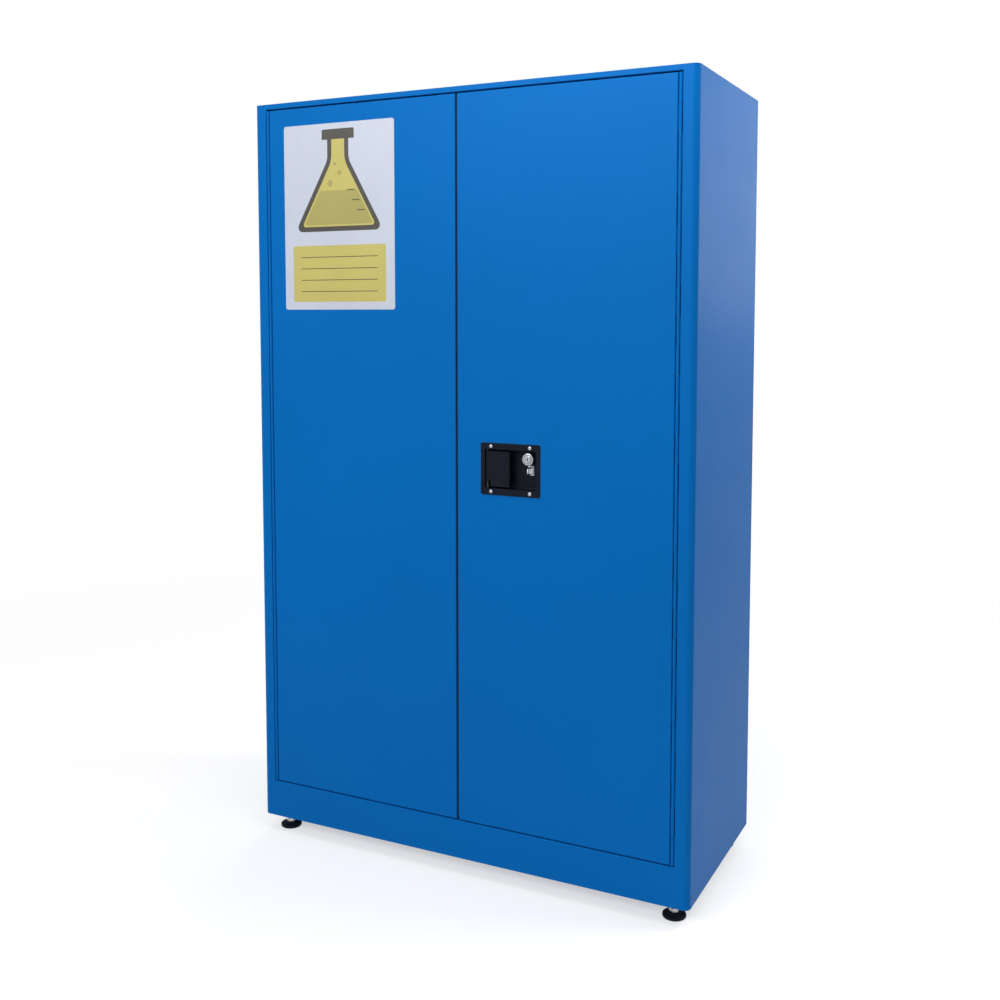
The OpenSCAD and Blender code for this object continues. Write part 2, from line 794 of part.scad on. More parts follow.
// Paddle with barrel, grip ridge at its free edge and a lever tail behind the pin
module latch_paddle() {
    y0 = pad_pin_y - paddle_barrel_r + 2 * hook_gap;
    z0 = hand_z - dish_z + spring_l + paddle_gap / 2;
    z1 = hand_z + dish_z - paddle_gap / 2;
    x1 = pad_pin_x + paddle_w;
    color(dark) difference() {
        union() {
            bar_z(pad_pin_x, pad_pin_y, z0, z1, paddle_barrel_r);
            box([pad_pin_x, y0, z0], [x1, y0 + paddle_t, hand_z + paddle_h / 2]);
            box([pad_pin_x + 2 * paddle_barrel_r, y0, hand_z - paddle_h / 2],
                [x1, y0 + paddle_t, hand_z + paddle_h / 2]);
            box([x1 - ridge_w, y_f - flange_t + ridge_gap, hand_z - paddle_h / 2],
                [x1, y0 + paddle_t, hand_z + paddle_h / 2]);
            box([pad_pin_x - paddle_pin_r, pad_pin_y, hand_z - tail_h / 2],
                [pad_pin_x + paddle_pin_r, pad_pin_y + tail_l, hand_z + tail_h / 2]);
        }
        bar_z(pad_pin_x, pad_pin_y, z0 - 1, z1 + 1, paddle_pin_r + fit);
    }
}

module paddle_pin() {
    color(steel) bar_z(pad_pin_x, pad_pin_y, hand_z - dish_h / 2, hand_z + dish_h / 2, paddle_pin_r);
}

// Torsion spring around the paddle's pin, drawn as the sleeve that its turns fill
module paddle_spring() {
    z0 = hand_z - dish_z;
    color(zinc) difference() {
        bar_z(pad_pin_x, pad_pin_y, z0, z0 + spring_l, paddle_pin_r + fit + spring_t);
        bar_z(pad_pin_x, pad_pin_y, z0 - 1, z0 + spring_l + 1, paddle_pin_r + fit);
    }
}

// ---------- lock and rods ----------

module lock_housing() {
    color(chrome) difference() {
        union() {
            bar_y(cam_x, cam_z, y_f + housing_set, y_f + dish_d - dish_t, housing_r);
            bar_y(cam_x, cam_z, y_f + dish_d - dish_t - 1, cam_y - cut_gap, neck_r);
        }
        bar_y(cam_x, cam_z, y_f, cam_y + 1, plug_r + fit);
    }
}

// Plug with its keyway
module lock_plug() {
    y0 = y_f + housing_set - plug_out;
    color(chrome) difference() {
        bar_y(cam_x, cam_z, y0, cam_y, plug_r);
        box([cam_x - key_w / 2, y0 - 1, cam_z - key_h / 2],
            [cam_x + key_w / 2, y0 + key_d, cam_z + key_h / 2]);
    }
}

// Cam on the plug's end with one drive pin for each rod
module lock_cam() {
    a = rod_travel / 2;
    color(steel) {
        bar_y(cam_x, cam_z, cam_y, cam_y + cam_t, cam_r);
        for (s = [-1, 1])
            bar_y(cam_x + s * a, cam_z - s * a, cam_y, rod_y + 1, drive_pin_r);
    }
}

// Locking rod with the yoke that its drive pin turns in; up is 1 for the top rod, -1 for the bottom
module locking_rod(up, z_end) {
    zy = cam_z - up * rod_travel / 2;
    slot_half = drive_pin_r + yoke_play;
    rim = 3;
    near = rod_travel / 2 - slot_half;
    far = drive_r + slot_half;
    y0 = rod_y - rod_r + cut_gap;
    color(steel) translate([cam_x, 0, 0]) on_side(up) {
        difference() {
            box([cut_gap, y0, zy - slot_half - rim], [far + rim, y0 + yoke_t, zy + slot_half + rim]);
            box([near, y0 - 1, zy - slot_half], [far, y0 + yoke_t + 1, zy + slot_half]);
        }
        if (up > 0) bar_z(rod_dx, rod_y, zy + slot_half + cut_gap, z_end, rod_r);
        else bar_z(rod_dx, rod_y, z_end, zy - slot_half - cut_gap, rod_r);
    }
}

module rod_top() {
    locking_rod(1, tip_z1);
}

module rod_bottom() {
    locking_rod(-1, tip_z0);
}

module rod_guides() {
    color(zinc) {
        for (z = [cam_z + 6 * guide_h, door_z1 - 3 * guide_h]) guide(cam_x + rod_dx, z);
        for (z = [cam_z - 6 * guide_h, door_z0 + 3 * guide_h]) guide(cam_x - rod_dx, z);
    }
}

// Wire staple for a padlock on its base plate, one leg above the other on the dish's floor
module padlock_staple() {
    r = staple_w / 2;
    y1 = pad_pin_y + r;
    y2 = y_f + dish_d - dish_t;
    z = hand_z - staple_z;
    color(chrome) {
        front_plate(cam_x, z, staple_base_w, staple_base_h, staple_rim, y2 - staple_base_t, y2);
        for (j = [-1, 1]) bar_y(cam_x, z + j * r, y1, y2, staple_r);
        translate([cam_x, y1, z]) rotate([0, 90, 180]) rotate_extrude(angle = 180)
            translate([r, 0]) circle(staple_r, $fn = 32);
    }
}

// ---------- the nodes ----------

side_panel(-1);  // side_panel_left
side_panel(1);  // side_panel_right
top_panel();
base_panel();
back_panel();
front_sill();
liner_side(-1);  // liner_left
liner_side(1);  // liner_right
liner_back();
liner_top();
sump_tray();
shelf_uprights();
shelf_clips();
shelf(1);  // shelf_lower
shelf(2);  // shelf_middle
shelf(3);  // shelf_upper
strike_plates();
foot_weld_nuts();
foot_lock_nuts();
hinge_frame_leaf(-1);  // hinge_frame_leaf_left
hinge_frame_leaf(1);  // hinge_frame_leaf_right
hinge_pin(-1);  // hinge_pin_left
hinge_pin(1);  // hinge_pin_right
hinge_rivets_frame();
door_left_skin();
door_left_liner();
door_gasket(-1);  // door_left_gasket
hinge_door_leaf(-1);  // hinge_door_leaf_left
hinge_rivets_door(-1);  // hinge_rivets_left
contents_plate();
meeting_seal();
bolt_guides();
bolt_top();
bolt_bottom();
door_right_skin();
door_right_liner();
door_gasket(1);  // door_right_gasket
hinge_door_leaf(1);  // hinge_door_leaf_right
hinge_rivets_door(1);  // hinge_rivets_right
latch_dish();
latch_screws();
latch_paddle();
paddle_pin();
paddle_spring();
lock_housing();
lock_plug();
lock_cam();
padlock_staple();
rod_guides();
rod_top();
rod_bottom();
foot_pad(-foot_x, y_f + foot_in);  // foot_pad_front_left
foot_stud(-foot_x, y_f + foot_in);  // foot_stud_front_left
foot_pad(foot_x, y_f + foot_in);  // foot_pad_front_right
foot_stud(foot_x, y_f + foot_in);  // foot_stud_front_right
foot_pad(-foot_x, y_b - foot_in);  // foot_pad_back_left
foot_stud(-foot_x, y_b - foot_in);  // foot_stud_back_left
foot_pad(foot_x, y_b - foot_in);  // foot_pad_back_right
foot_stud(foot_x, y_b - foot_in);  // foot_stud_back_right
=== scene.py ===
import json
import math
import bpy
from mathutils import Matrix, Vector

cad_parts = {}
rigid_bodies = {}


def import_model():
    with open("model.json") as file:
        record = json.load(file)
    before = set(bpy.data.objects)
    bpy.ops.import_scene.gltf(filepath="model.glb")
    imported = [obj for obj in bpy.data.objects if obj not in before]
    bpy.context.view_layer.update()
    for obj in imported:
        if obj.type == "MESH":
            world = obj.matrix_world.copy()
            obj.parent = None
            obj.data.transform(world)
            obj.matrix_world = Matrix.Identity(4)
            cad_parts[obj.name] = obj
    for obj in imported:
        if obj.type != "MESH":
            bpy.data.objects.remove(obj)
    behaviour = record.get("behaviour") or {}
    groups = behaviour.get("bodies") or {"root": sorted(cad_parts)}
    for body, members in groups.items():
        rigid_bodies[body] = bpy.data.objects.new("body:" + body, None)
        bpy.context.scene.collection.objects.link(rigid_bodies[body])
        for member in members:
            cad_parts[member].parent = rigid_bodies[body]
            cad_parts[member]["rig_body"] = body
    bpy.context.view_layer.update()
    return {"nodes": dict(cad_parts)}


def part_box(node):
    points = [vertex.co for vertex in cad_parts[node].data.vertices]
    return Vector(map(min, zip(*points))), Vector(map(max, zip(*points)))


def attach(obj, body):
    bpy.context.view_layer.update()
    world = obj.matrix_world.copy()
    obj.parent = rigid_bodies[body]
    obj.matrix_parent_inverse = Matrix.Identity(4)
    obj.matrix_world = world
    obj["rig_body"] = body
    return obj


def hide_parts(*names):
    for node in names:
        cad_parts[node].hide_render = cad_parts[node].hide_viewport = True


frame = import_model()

from types import SimpleNamespace

import bmesh
import bpy
from bpy.props import FloatProperty, FloatVectorProperty, IntProperty, PointerProperty
from mathutils import Matrix, Vector

bl_info = {
    "name": "Two-door reagent cabinet",
    "version": (1, 0, 0),
    "blender": (4, 5, 0),
    "location": "View3D > Sidebar > Cabinet",
    "description": "Builds the visible sheets, doors, latch, plate and fittings of a reagent cabinet",
    "category": "Object",
}

MM = 0.001
DOUBLES = 0.000002  # metres, below which two vertices are one

# Millimetres
SHEET = 1.2  # thickness of the folded sheets
TIP_HOLE = 4.5  # radius of the holes for the tips of the rods and bolts
DISH_WALL = 1.5  # thickness of the latch dish
PIN_BORE = 2.05  # radius of the bore round the paddle's pin
PRINT_LIFT = 0.03  # of the first printed layer in front of the plate
PRINT_STEP = 0.04  # from one printed layer to the next

FLOOR_GREY = 0.62
FLOOR_LIFT = 0.52  # light that the floor adds for rays that are seen
FLOOR_FADE = (1.6, 3.4)  # metres from the middle, where the floor runs out to white
SURROUND = 0.34  # light of the white surround on the cabinet

# name, place, aim, size and power of each soft light
LIGHTS = (
    ("key", (-0.9, -4.2, 3.1), (0, 0, 1.3), (3.0, 1.4), 116),
    ("side", (2.3, 0.9, 3.1), (0.5, 0, 1.6), (1.2, 1.2), 46),
    ("sheen", (1.2, 2.4, 1.8), (0.535, 0, 1.4), (0.9, 1.1), 5),
    ("glow", (0.5, -0.62, 2.25), (0.3, -0.23, 1.70), (1.0, 0.25), 4),
    ("overhead", (0.2, -1.6, 4.0), (0, -0.1, 1.0), (3.0, 2.0), 17),
    ("back", (-0.9, 4.4, 3.0), (0, 0, 1.0), (3.0, 2.0), 52),
)


# ---------- sizes and finishes ----------


class CabinetSizes(bpy.types.PropertyGroup):
    """Sizes that only the visible pieces have. Millimetres."""

    corner: FloatProperty(
        name="Body corner", description="Outer bend radius of the two front corners", default=14.0, min=3.0, max=20.0
    )
    bend: FloatProperty(
        name="Sheet bend", description="Outer bend radius of the other folds", default=1.6, min=1.2, max=4.0
    )
    door_edge: FloatProperty(
        name="Door edge", description="Radius round the front of each door", default=2.5, min=1.3, max=4.0
    )
    edge: FloatProperty(
        name="Broken edge", description="Width of the broken edge on cut sheet", default=0.35, min=0.1, max=1.0
    )
    pocket: FloatProperty(
        name="Dish corner", description="Corner radius inside the latch dish", default=5.0, min=1.0, max=10.0
    )
    outline: FloatProperty(
        name="Figure outline", description="Width of the printed flask's outline", default=11.0, min=4.0, max=20.0
    )
    rules: IntProperty(
        name="Blank rules", description="Number of blank rules on the write-on field", default=4, min=1, max=8
    )
    thread: FloatProperty(
        name="Thread pitch", description="Pitch of the thread on the levelling studs", default=1.75, min=1.0, max=2.5
    )


class CabinetColours(bpy.types.PropertyGroup):
    """Colours of the finishes."""

    paint: FloatVectorProperty(
        name="Paint", description="Powder coat of the body and doors", subtype="COLOR", size=3,
        default=(0.0014, 0.137, 0.457), min=0.0, max=1.0,
    )
    plate: FloatVectorProperty(
        name="Plate", description="Ground of the contents plate", subtype="COLOR", size=3,
        default=(0.54, 0.58, 0.68), min=0.0, max=1.0,
    )
    yellow: FloatVectorProperty(
        name="Yellow", description="Yellow print of the contents plate", subtype="COLOR", size=3,
        default=(0.52, 0.46, 0.125), min=0.0, max=1.0,
    )
    ink: FloatVectorProperty(
        name="Ink", description="Dark print of the contents plate", subtype="COLOR", size=3,
        default=(0.050, 0.045, 0.035), min=0.0, max=1.0,
    )
    plastic: FloatVectorProperty(
        name="Plastic", description="Moulded latch and foot pads", subtype="COLOR", size=3,
        default=(0.0045, 0.0062, 0.0110), min=0.0, max=1.0,
    )


def sizes():
    return bpy.context.scene.cabinet_sizes


def colours():
    return bpy.context.scene.cabinet_colours


# ---------- finishes ----------


def add_node(tree, kind, settings=None, **sockets):
    """Adds a shader node and sets its properties and sockets."""
    made = tree.nodes.new("ShaderNode" + kind)
    for key, value in (settings or {}).items():
        setattr(made, key, value)
    for key, value in sockets.items():
        made.inputs[key.replace("_", " ")].default_value = value
    return made


class Finish:
    """A material under construction: its tree, its shader and its object coordinates."""

    def __init__(self, name, colour, roughness, metallic=0.0):
        self.material = bpy.data.materials.new(name)
        self.material.use_nodes = True
        self.tree = self.material.node_tree
        self.shader = self.tree.nodes["Principled BSDF"]
        self.shader.inputs["Base Color"].default_value = (*colour, 1.0)
        self.shader.inputs["Roughness"].default_value = roughness
        self.shader.inputs["Metallic"].default_value = metallic
        self.place = self.add("TexCoord").outputs["Object"]

    def add(self, kind, settings=None, **sockets):
        return add_node(self.tree, kind, settings, **sockets)

    def link(self, out, into):
        self.tree.links.new(out, into)

    def stretched(self, scale):
        """Coordinates scaled by axis, for a brushed or rolled pattern."""
        mapping = self.add("Mapping", None, Scale=scale)
        self.link(self.place, mapping.inputs["Vector"])
        return mapping.outputs["Vector"]

    def noise(self, scale, detail=2.0, place=None):
        made = self.add("TexNoise", None, Scale=scale, Detail=detail, Roughness=0.55)
        self.link(place or self.place, made.inputs["Vector"])
        return made.outputs["Fac"]

    def ranged(self, value, low, high, start=0.3, end=0.7):
        made = self.add("MapRange", None, From_Min=start, From_Max=end, To_Min=low, To_Max=high)
        self.link(value, made.inputs["Value"])
        return made.outputs["Result"]

    def mixed(self, factor, first, second):
        """Mixes two colours, or a socket and a colour, by a factor socket."""
        made = self.add("Mix", {"data_type": "RGBA"})
        self.link(factor, made.inputs["Factor"])
        for at, value in ((6, first), (7, second)):
            if isinstance(value, bpy.types.NodeSocket):
                self.link(value, made.inputs[at])
            else:
                made.inputs[at].default_value = (*value, 1.0)
        return made.outputs[2]

    def times(self, first, second):
        made = self.add("Math", {"operation": "MULTIPLY"})
        self.link(first, made.inputs[0])
        self.link(second, made.inputs[1])
        return made.outputs["Value"]

    def edges(self, radius, reach=0.10):
        """1 on the outer edges of a piece and 0 on its flats."""
        rounded = self.add("Bevel", {"samples": 4}, Radius=radius)
        normal = self.add("NewGeometry").outputs["Normal"]
        dot = self.add("VectorMath", {"operation": "DOT_PRODUCT"})
        self.link(rounded.outputs["Normal"], dot.inputs[0])
        self.link(normal, dot.inputs[1])
        return self.ranged(dot.outputs["Value"], 1.0, 0.0, 1.0 - reach, 1.0)

    def colour(self, out):
        self.link(out, self.shader.inputs["Base Color"])

    def roughness(self, out):
        self.link(out, self.shader.inputs["Roughness"])

    def bumps(self, *layers):
        """Each layer is a height socket, a depth in metres and a strength."""
        last = None
        for height, depth, strength in layers:
            bump = self.add("Bump", None, Distance=depth, Strength=strength)
            self.link(height, bump.inputs["Height"])
            if last:
                self.link(last, bump.inputs["Normal"])
            last = bump.outputs["Normal"]
        self.link(last, self.shader.inputs["Normal"])


def shade(colour, factor):
    return tuple(min(1.0, part * factor) for part in colour)


def powder_coat():
    """Semi-gloss powder coat on steel sheet: orange peel, faint waves in the sheet and rubbed edges."""
    colour = tuple(colours().paint)
    f = Finish("blue_powder_coat", colour, 0.40)
    f.shader.inputs["IOR"].default_value = 1.45
    f.shader.inputs["Specular IOR Level"].default_value = 0.05
    cloud = f.ranged(f.noise(2.2, 3.0), 0.0, 1.0)
    fleck = f.ranged(f.noise(900.0, 1.0), 0.0, 0.06)
    base = f.mixed(cloud, shade(colour, 0.97), shade(colour, 1.03))
    base = f.mixed(fleck, base, shade(colour, 1.4))
    wear = f.times(f.edges(0.0012), f.ranged(f.noise(45.0, 3.0), 0.0, 0.35, 0.45, 0.75))
    f.colour(f.mixed(wear, base, (0.06, 0.20, 0.46)))
    f.roughness(f.ranged(f.noise(14.0, 3.0), 0.385, 0.415))
    f.bumps(
        (f.noise(2.4, 1.0, f.stretched((1.0, 1.0, 0.6))), 0.002, 0.04),
        (f.noise(420.0, 1.5), 0.0003, 0.08),
    )
    return f.material


def zinc_plate():
    """Bright zinc plating with a faint straw tint in patches."""
    f = Finish("bright_zinc", (0.55, 0.56, 0.57), 0.34, 1.0)
    patch = f.ranged(f.noise(38.0, 4.0), 0.0, 1.0)
    f.colour(f.mixed(patch, (0.60, 0.61, 0.62), (0.52, 0.50, 0.44)))
    f.roughness(f.ranged(f.noise(90.0, 3.0), 0.26, 0.44))
    f.bumps((f.noise(700.0, 2.0), 0.0002, 0.12), (f.noise(60.0, 2.0), 0.0003, 0.06))
    return f.material


def galvanised_sheet():
    """Hot-dip galvanised sheet with its spangle."""
    f = Finish("galvanised_sheet", (0.52, 0.54, 0.56), 0.42, 0.85)
    spangle = f.add("TexVoronoi", None, Scale=75.0, Randomness=1.0)
    f.link(f.place, spangle.inputs["Vector"])
    grey = f.add("RGBToBW")
    f.link(spangle.outputs["Color"], grey.inputs["Color"])
    tone = grey.outputs["Val"]
    f.colour(f.mixed(tone, (0.44, 0.46, 0.48), (0.62, 0.64, 0.66)))
    f.roughness(f.ranged(tone, 0.34, 0.52, 0.0, 1.0))
    f.bumps((tone, 0.0002, 0.10), (f.noise(300.0, 2.0), 0.0002, 0.08))
    return f.material


def turned_steel():
    """Drawn steel with fine lines along it and a trace of oil."""
    f = Finish("drawn_steel", (0.40, 0.41, 0.42), 0.34, 1.0)
    lines = f.noise(140.0, 3.0, f.stretched((6.0, 6.0, 0.15)))
    f.colour(f.mixed(f.ranged(f.noise(22.0, 3.0), 0.0, 1.0), (0.36, 0.37, 0.38), (0.48, 0.48, 0.49)))
    f.roughness(f.ranged(lines, 0.26, 0.46))
    f.bumps((lines, 0.0002, 0.10))
    return f.material


def blackened_steel():
    """Oiled black oxide on spring steel."""
    f = Finish("blackened_steel", (0.030, 0.030, 0.033), 0.38, 0.6)
    patch = f.ranged(f.noise(80.0, 3.0), 0.0, 1.0)
    f.colour(f.mixed(patch, (0.022, 0.022, 0.025), (0.050, 0.047, 0.045)))
    f.roughness(f.ranged(f.noise(260.0, 3.0), 0.30, 0.48))
    f.bumps((f.noise(900.0, 2.0), 0.0001, 0.10))
    return f.material


def chrome_plate():
    """Satin chrome plating with hairline scratches."""
    f = Finish("chrome_plate", (0.42, 0.43, 0.47), 0.20, 1.0)
    hairs = f.noise(260.0, 4.0, f.stretched((1.0, 1.0, 7.0)))
    f.roughness(f.ranged(hairs, 0.16, 0.30, 0.4, 0.8))
    f.colour(f.mixed(f.ranged(f.noise(30.0, 2.0), 0.0, 1.0), (0.38, 0.39, 0.43), (0.46, 0.47, 0.51)))
    f.bumps((hairs, 0.0001, 0.06))
    return f.material


def moulded_plastic():
    """Black moulded nylon with a spark-eroded grain and edges polished by hands."""
    colour = tuple(colours().plastic)
    f = Finish("black_nylon", colour, 0.42)
    f.shader.inputs["IOR"].default_value = 1.50
    f.shader.inputs["Specular IOR Level"].default_value = 0.09
    grain = f.noise(1400.0, 2.0)
    rub = f.times(f.edges(0.0009), f.ranged(f.noise(60.0, 2.0), 0.2, 0.8))
    base = f.mixed(f.ranged(f.noise(25.0, 3.0), 0.0, 1.0), colour, shade(colour, 1.5))
    f.colour(f.mixed(rub, base, (0.022, 0.025, 0.032)))
    f.roughness(f.ranged(f.noise(40.0, 3.0), 0.36, 0.50))
    f.bumps((grain, 0.0002, 0.20))
    return f.material


def seal_rubber():
    """Extruded black rubber with a matt skin and a little chalk."""
    f = Finish("seal_rubber", (0.018, 0.018, 0.019), 0.75)
    f.shader.inputs["Specular IOR Level"].default_value = 0.35
    dust = f.ranged(f.noise(55.0, 5.0), 0.0, 0.5, 0.5, 0.8)
    f.colour(f.mixed(dust, (0.016, 0.016, 0.017), (0.060, 0.060, 0.058)))
    f.roughness(f.ranged(f.noise(120.0, 3.0), 0.66, 0.86))
    f.bumps((f.noise(900.0, 3.0), 0.0003, 0.18))
    return f.material


def laminated(name, colour, gloss=0.34):
    """Print under a satin laminate on a stiff plastic plate."""
    f = Finish(name, colour, gloss)
    f.shader.inputs["IOR"].default_value = 1.49
    fade = f.ranged(f.noise(9.0, 4.0), 0.0, 1.0)
    dots = f.ranged(f.noise(1800.0, 0.0), 0.0, 0.35)
    base = f.mixed(fade, shade(colour, 0.95), shade(colour, 1.04))
    f.colour(f.mixed(dots, base, shade(colour, 0.90)))
    f.roughness(f.ranged(f.noise(50.0, 3.0), gloss - 0.05, gloss + 0.07))
    f.bumps((f.noise(240.0, 2.0), 0.0002, 0.06))
    return f.material


MAKERS = {
    "blue_paint": powder_coat,
    "zinc_steel": zinc_plate,
    "shelf_steel": galvanised_sheet,
    "bare_steel": turned_steel,
    "black_steel": blackened_steel,
    "chrome": chrome_plate,
    "black_plastic": moulded_plastic,
    "seal_rubber": seal_rubber,
    "plate_white": lambda: laminated("plate_ground", tuple(colours().plate)),
    "print_yellow": lambda: laminated("yellow_print", tuple(colours().yellow)),
    "print_liquid": lambda: laminated("deep_yellow_print", shade(tuple(colours().yellow), 0.72)),
    "print_ink": lambda: laminated("dark_print", tuple(colours().ink)),
}
made_finishes = {}


def finish(kind):
    if kind not in made_finishes:
        made_finishes[kind] = MAKERS[kind]()
    return made_finishes[kind]


# ---------- shaping by hand ----------


def box_mm(node):
    low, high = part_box(node)
    return low / MM, high / MM


def centre(low, high):
    return [(first + last) / 2 for first, last in zip(low, high)]


def settle():
    """Leaves edit mode and deselects everything."""
    if bpy.context.object and bpy.context.object.mode != "OBJECT":
        bpy.ops.object.mode_set(mode="OBJECT")
    bpy.ops.object.select_all(action="DESELECT")


def grab(ob):
    settle()
    ob.select_set(True)
    bpy.context.view_layer.objects.active = ob
    return ob


def named(name):
    """Puts the new primitive's place, turn and size into its mesh and names it."""
    ob = bpy.context.object
    bpy.ops.object.transform_apply(location=True, rotation=True, scale=True)
    ob.name = ob.data.name = name
    return ob


def block(name, low, high):
    settle()
    low, high = Vector(low) * MM, Vector(high) * MM
    bpy.ops.mesh.primitive_cube_add(size=1, location=(low + high) / 2, scale=high - low)
    return named(name)


def rod(name, start, end, radius, sides=48):
    settle()
    start, end = Vector(start) * MM, Vector(end) * MM
    turn = (end - start).to_track_quat("Z", "Y").to_euler()
    bpy.ops.mesh.primitive_cylinder_add(
        vertices=sides, radius=radius * MM, depth=(end - start).length, location=(start + end) / 2, rotation=turn
    )
    return named(name)


def edit(ob, kind):
    grab(ob)
    bpy.ops.object.mode_set(mode="EDIT")
    bpy.ops.mesh.select_mode(type=kind)


def pick(ob, kind, test):
    """Opens a mesh for editing with only the vertices, edges or faces selected that pass the test."""
    edit(ob, kind)
    bpy.ops.mesh.select_all(action="DESELECT")
    mesh = bmesh.from_edit_mesh(ob.data)
    found = [item for item in {"VERT": mesh.verts, "EDGE": mesh.edges, "FACE": mesh.faces}[kind] if test(item)]
    if not found:
        raise RuntimeError(f"{ob.name}: no {kind.lower()} at the place to shape")
    for item in found:
        item.select_set(True)
    mesh.select_flush_mode()
    bmesh.update_edit_mesh(ob.data)


def pick_all(ob, kind="VERT"):
    edit(ob, kind)
    bpy.ops.mesh.select_all(action="SELECT")


def middle(edge):
    return (edge.verts[0].co + edge.verts[1].co) / 2 / MM


def runs(edge, axis):
    way = (edge.verts[1].co - edge.verts[0].co).normalized()
    return abs(way["XYZ".index(axis)]) > 0.999


def faces_way(face, way):
    return face.normal.dot(Vector(way)) > 0.99


def close(first, second, reach=0.05):
    return abs(first - second) < reach


def push(move):
    """Extrudes what is selected by a move in millimetres."""
    bpy.ops.mesh.extrude_region_move(TRANSFORM_OT_translate={"value": Vector(move) * MM})


def inset(width, depth=0.0, each=False):
    bpy.ops.mesh.inset(thickness=width * MM, depth=depth * MM, use_individual=each)


def squeeze(value, about):
    bpy.ops.transform.resize(value=value, center_override=Vector(about) * MM)


def round_edges(ob, width, test, segments=5, kind="EDGE", affect="EDGES"):
    pick(ob, kind, test)
    bpy.ops.mesh.bevel(offset=width * MM, segments=segments, affect=affect, profile=0.5, clamp_overlap=True)
    settle()


def round_corners(ob, width, test, segments=6):
    round_edges(ob, width, test, segments, "VERT", "VERTICES")


def modifier(ob, kind, **settings):
    """Adds a modifier, sets it and applies it."""
    grab(ob)
    bpy.ops.object.modifier_add(type=kind)
    made = ob.modifiers[-1]
    for key, value in settings.items():
        setattr(made, key, value)
    bpy.ops.object.modifier_apply(modifier=made.name)
    return ob


def carve(ob, tool, operation="DIFFERENCE"):
    """Cuts a piece by another, or joins the two, and removes the tool."""
    modifier(ob, "BOOLEAN", object=tool, operation=operation, solver="EXACT")
    bpy.data.objects.remove(tool)
    return ob


def join(ob, tool):
    return carve(ob, tool, "UNION")


def drill(ob, start, end, radius, sides=32):
    return carve(ob, rod("drill", start, end, radius, sides))


def smooth(ob, angle=35):
    """Smooth shading on curves and flat shading on flats."""
    grab(ob)
    bpy.ops.object.shade_smooth_by_angle(angle=math.radians(angle))
    return modifier(ob, "WEIGHTED_NORMAL", keep_sharp=True, weight=50)


def soften(ob, width, segments=2, angle=35):
    """Breaks the sharp edges that are left and shades the piece."""
    modifier(
        ob, "BEVEL", width=width * MM, segments=segments, limit_method="ANGLE", angle_limit=math.radians(angle),
        use_clamp_overlap=True, miter_outer="MITER_ARC",
    )
    return smooth(ob, angle)


def whole(ob):
    """Merges doubles and turns the faces outwards."""
    pick_all(ob)
    bpy.ops.mesh.remove_doubles(threshold=DOUBLES)
    bpy.ops.mesh.normals_make_consistent(inside=False)
    settle()
    return ob


def merge_flats(ob):
    """Makes one face of faces that lie in one plane."""
    pick_all(ob)
    bpy.ops.mesh.dissolve_limited(angle_limit=math.radians(0.5))
    settle()


def copied(ob, name):
    twin = ob.copy()
    twin.data = ob.data.copy()
    twin.name = twin.data.name = name
    bpy.context.scene.collection.objects.link(twin)
    return twin


def moved(ob, move):
    """Moves the mesh of a piece, in millimetres."""
    pick_all(ob)
    bpy.ops.transform.translate(value=Vector(move) * MM)
    settle()
    return ob


def mirrored(ob, name):
    """A copy of a closed piece on the other side of the cabinet."""
    twin = copied(ob, name)
    pick_all(twin)
    bpy.ops.transform.resize(value=(-1, 1, 1), center_override=(0, 0, 0))
    bpy.ops.mesh.normals_make_consistent(inside=False)
    settle()
    return twin


def seed(name, point):
    """A mesh of one vertex, which stays selected in edit mode."""
    settle()
    bpy.ops.mesh.primitive_plane_add(size=MM, location=(0, 0, 0))
    ob = named(name)
    pick_all(ob)
    bpy.ops.mesh.merge(type="CENTER")
    bpy.ops.transform.translate(value=Vector(point) * MM)
    return ob


def trail(name, points):
    """A line of edges through the points, all selected in edit mode."""
    ob = seed(name, points[0])
    for last, point in zip(points, points[1:]):
        push(Vector(point) - Vector(last))
    bpy.ops.mesh.select_all(action="SELECT")
    return ob


def lathe(name, about, axis, profile, steps=48):
    """A turned piece. The profile gives pairs of place along the axis and radius."""
    way = {"Y": lambda along, r: (r, along, 0), "Z": lambda along, r: (r, 0, along)}[axis]
    ob = trail(name, [Vector(about) + Vector(way(along, r)) for along, r in profile])
    bpy.ops.mesh.spin(
        steps=steps, angle=math.tau, center=Vector(about) * MM, axis={"Y": (0, 1, 0), "Z": (0, 0, 1)}[axis],
        use_auto_merge=True,
    )
    return whole(ob)


def folded(name, points, run, span, inside, bends):
    """A strip of sheet folded along the points. run is the axis along the folds, inside points into the sheet
    from its first face, and bends gives each inner point's outer radius."""
    across = Vector(run)
    start, end = Vector(points[0]), Vector(points[1])
    along = (end - start).normalized()
    normal = along.cross(across)
    turn = Matrix((along, across, normal)).transposed().to_euler()
    settle()
    place = ((start + end) / 2 + across * (span[0] + span[1]) / 2) * MM
    bpy.ops.mesh.primitive_plane_add(size=MM, location=place, rotation=turn)
    bpy.context.object.scale = ((end - start).length, span[1] - span[0], 1)
    ob = named(name)
    half = across * (span[0] + span[1]) / 2
    for last, point in zip(points[1:], points[2:]):
        at = Vector(last) + half
        pick(ob, "EDGE", lambda e: (middle(e) - at).length < 0.01)
        push(Vector(point) - Vector(last))
    settle()
    for point, radius in zip(points[1:-1], bends):
        at = Vector(point) + half
        round_edges(ob, radius, lambda e: (middle(e) - at).length < 0.01, max(4, int(radius)))
    ob["inward"] = 1.0 if normal.dot(Vector(inside)) > 0 else -1.0
    return ob


def thicken(ob):
    modifier(ob, "SOLIDIFY", thickness=SHEET * MM, offset=ob.pop("inward"), use_even_offset=True)
    return whole(ob)


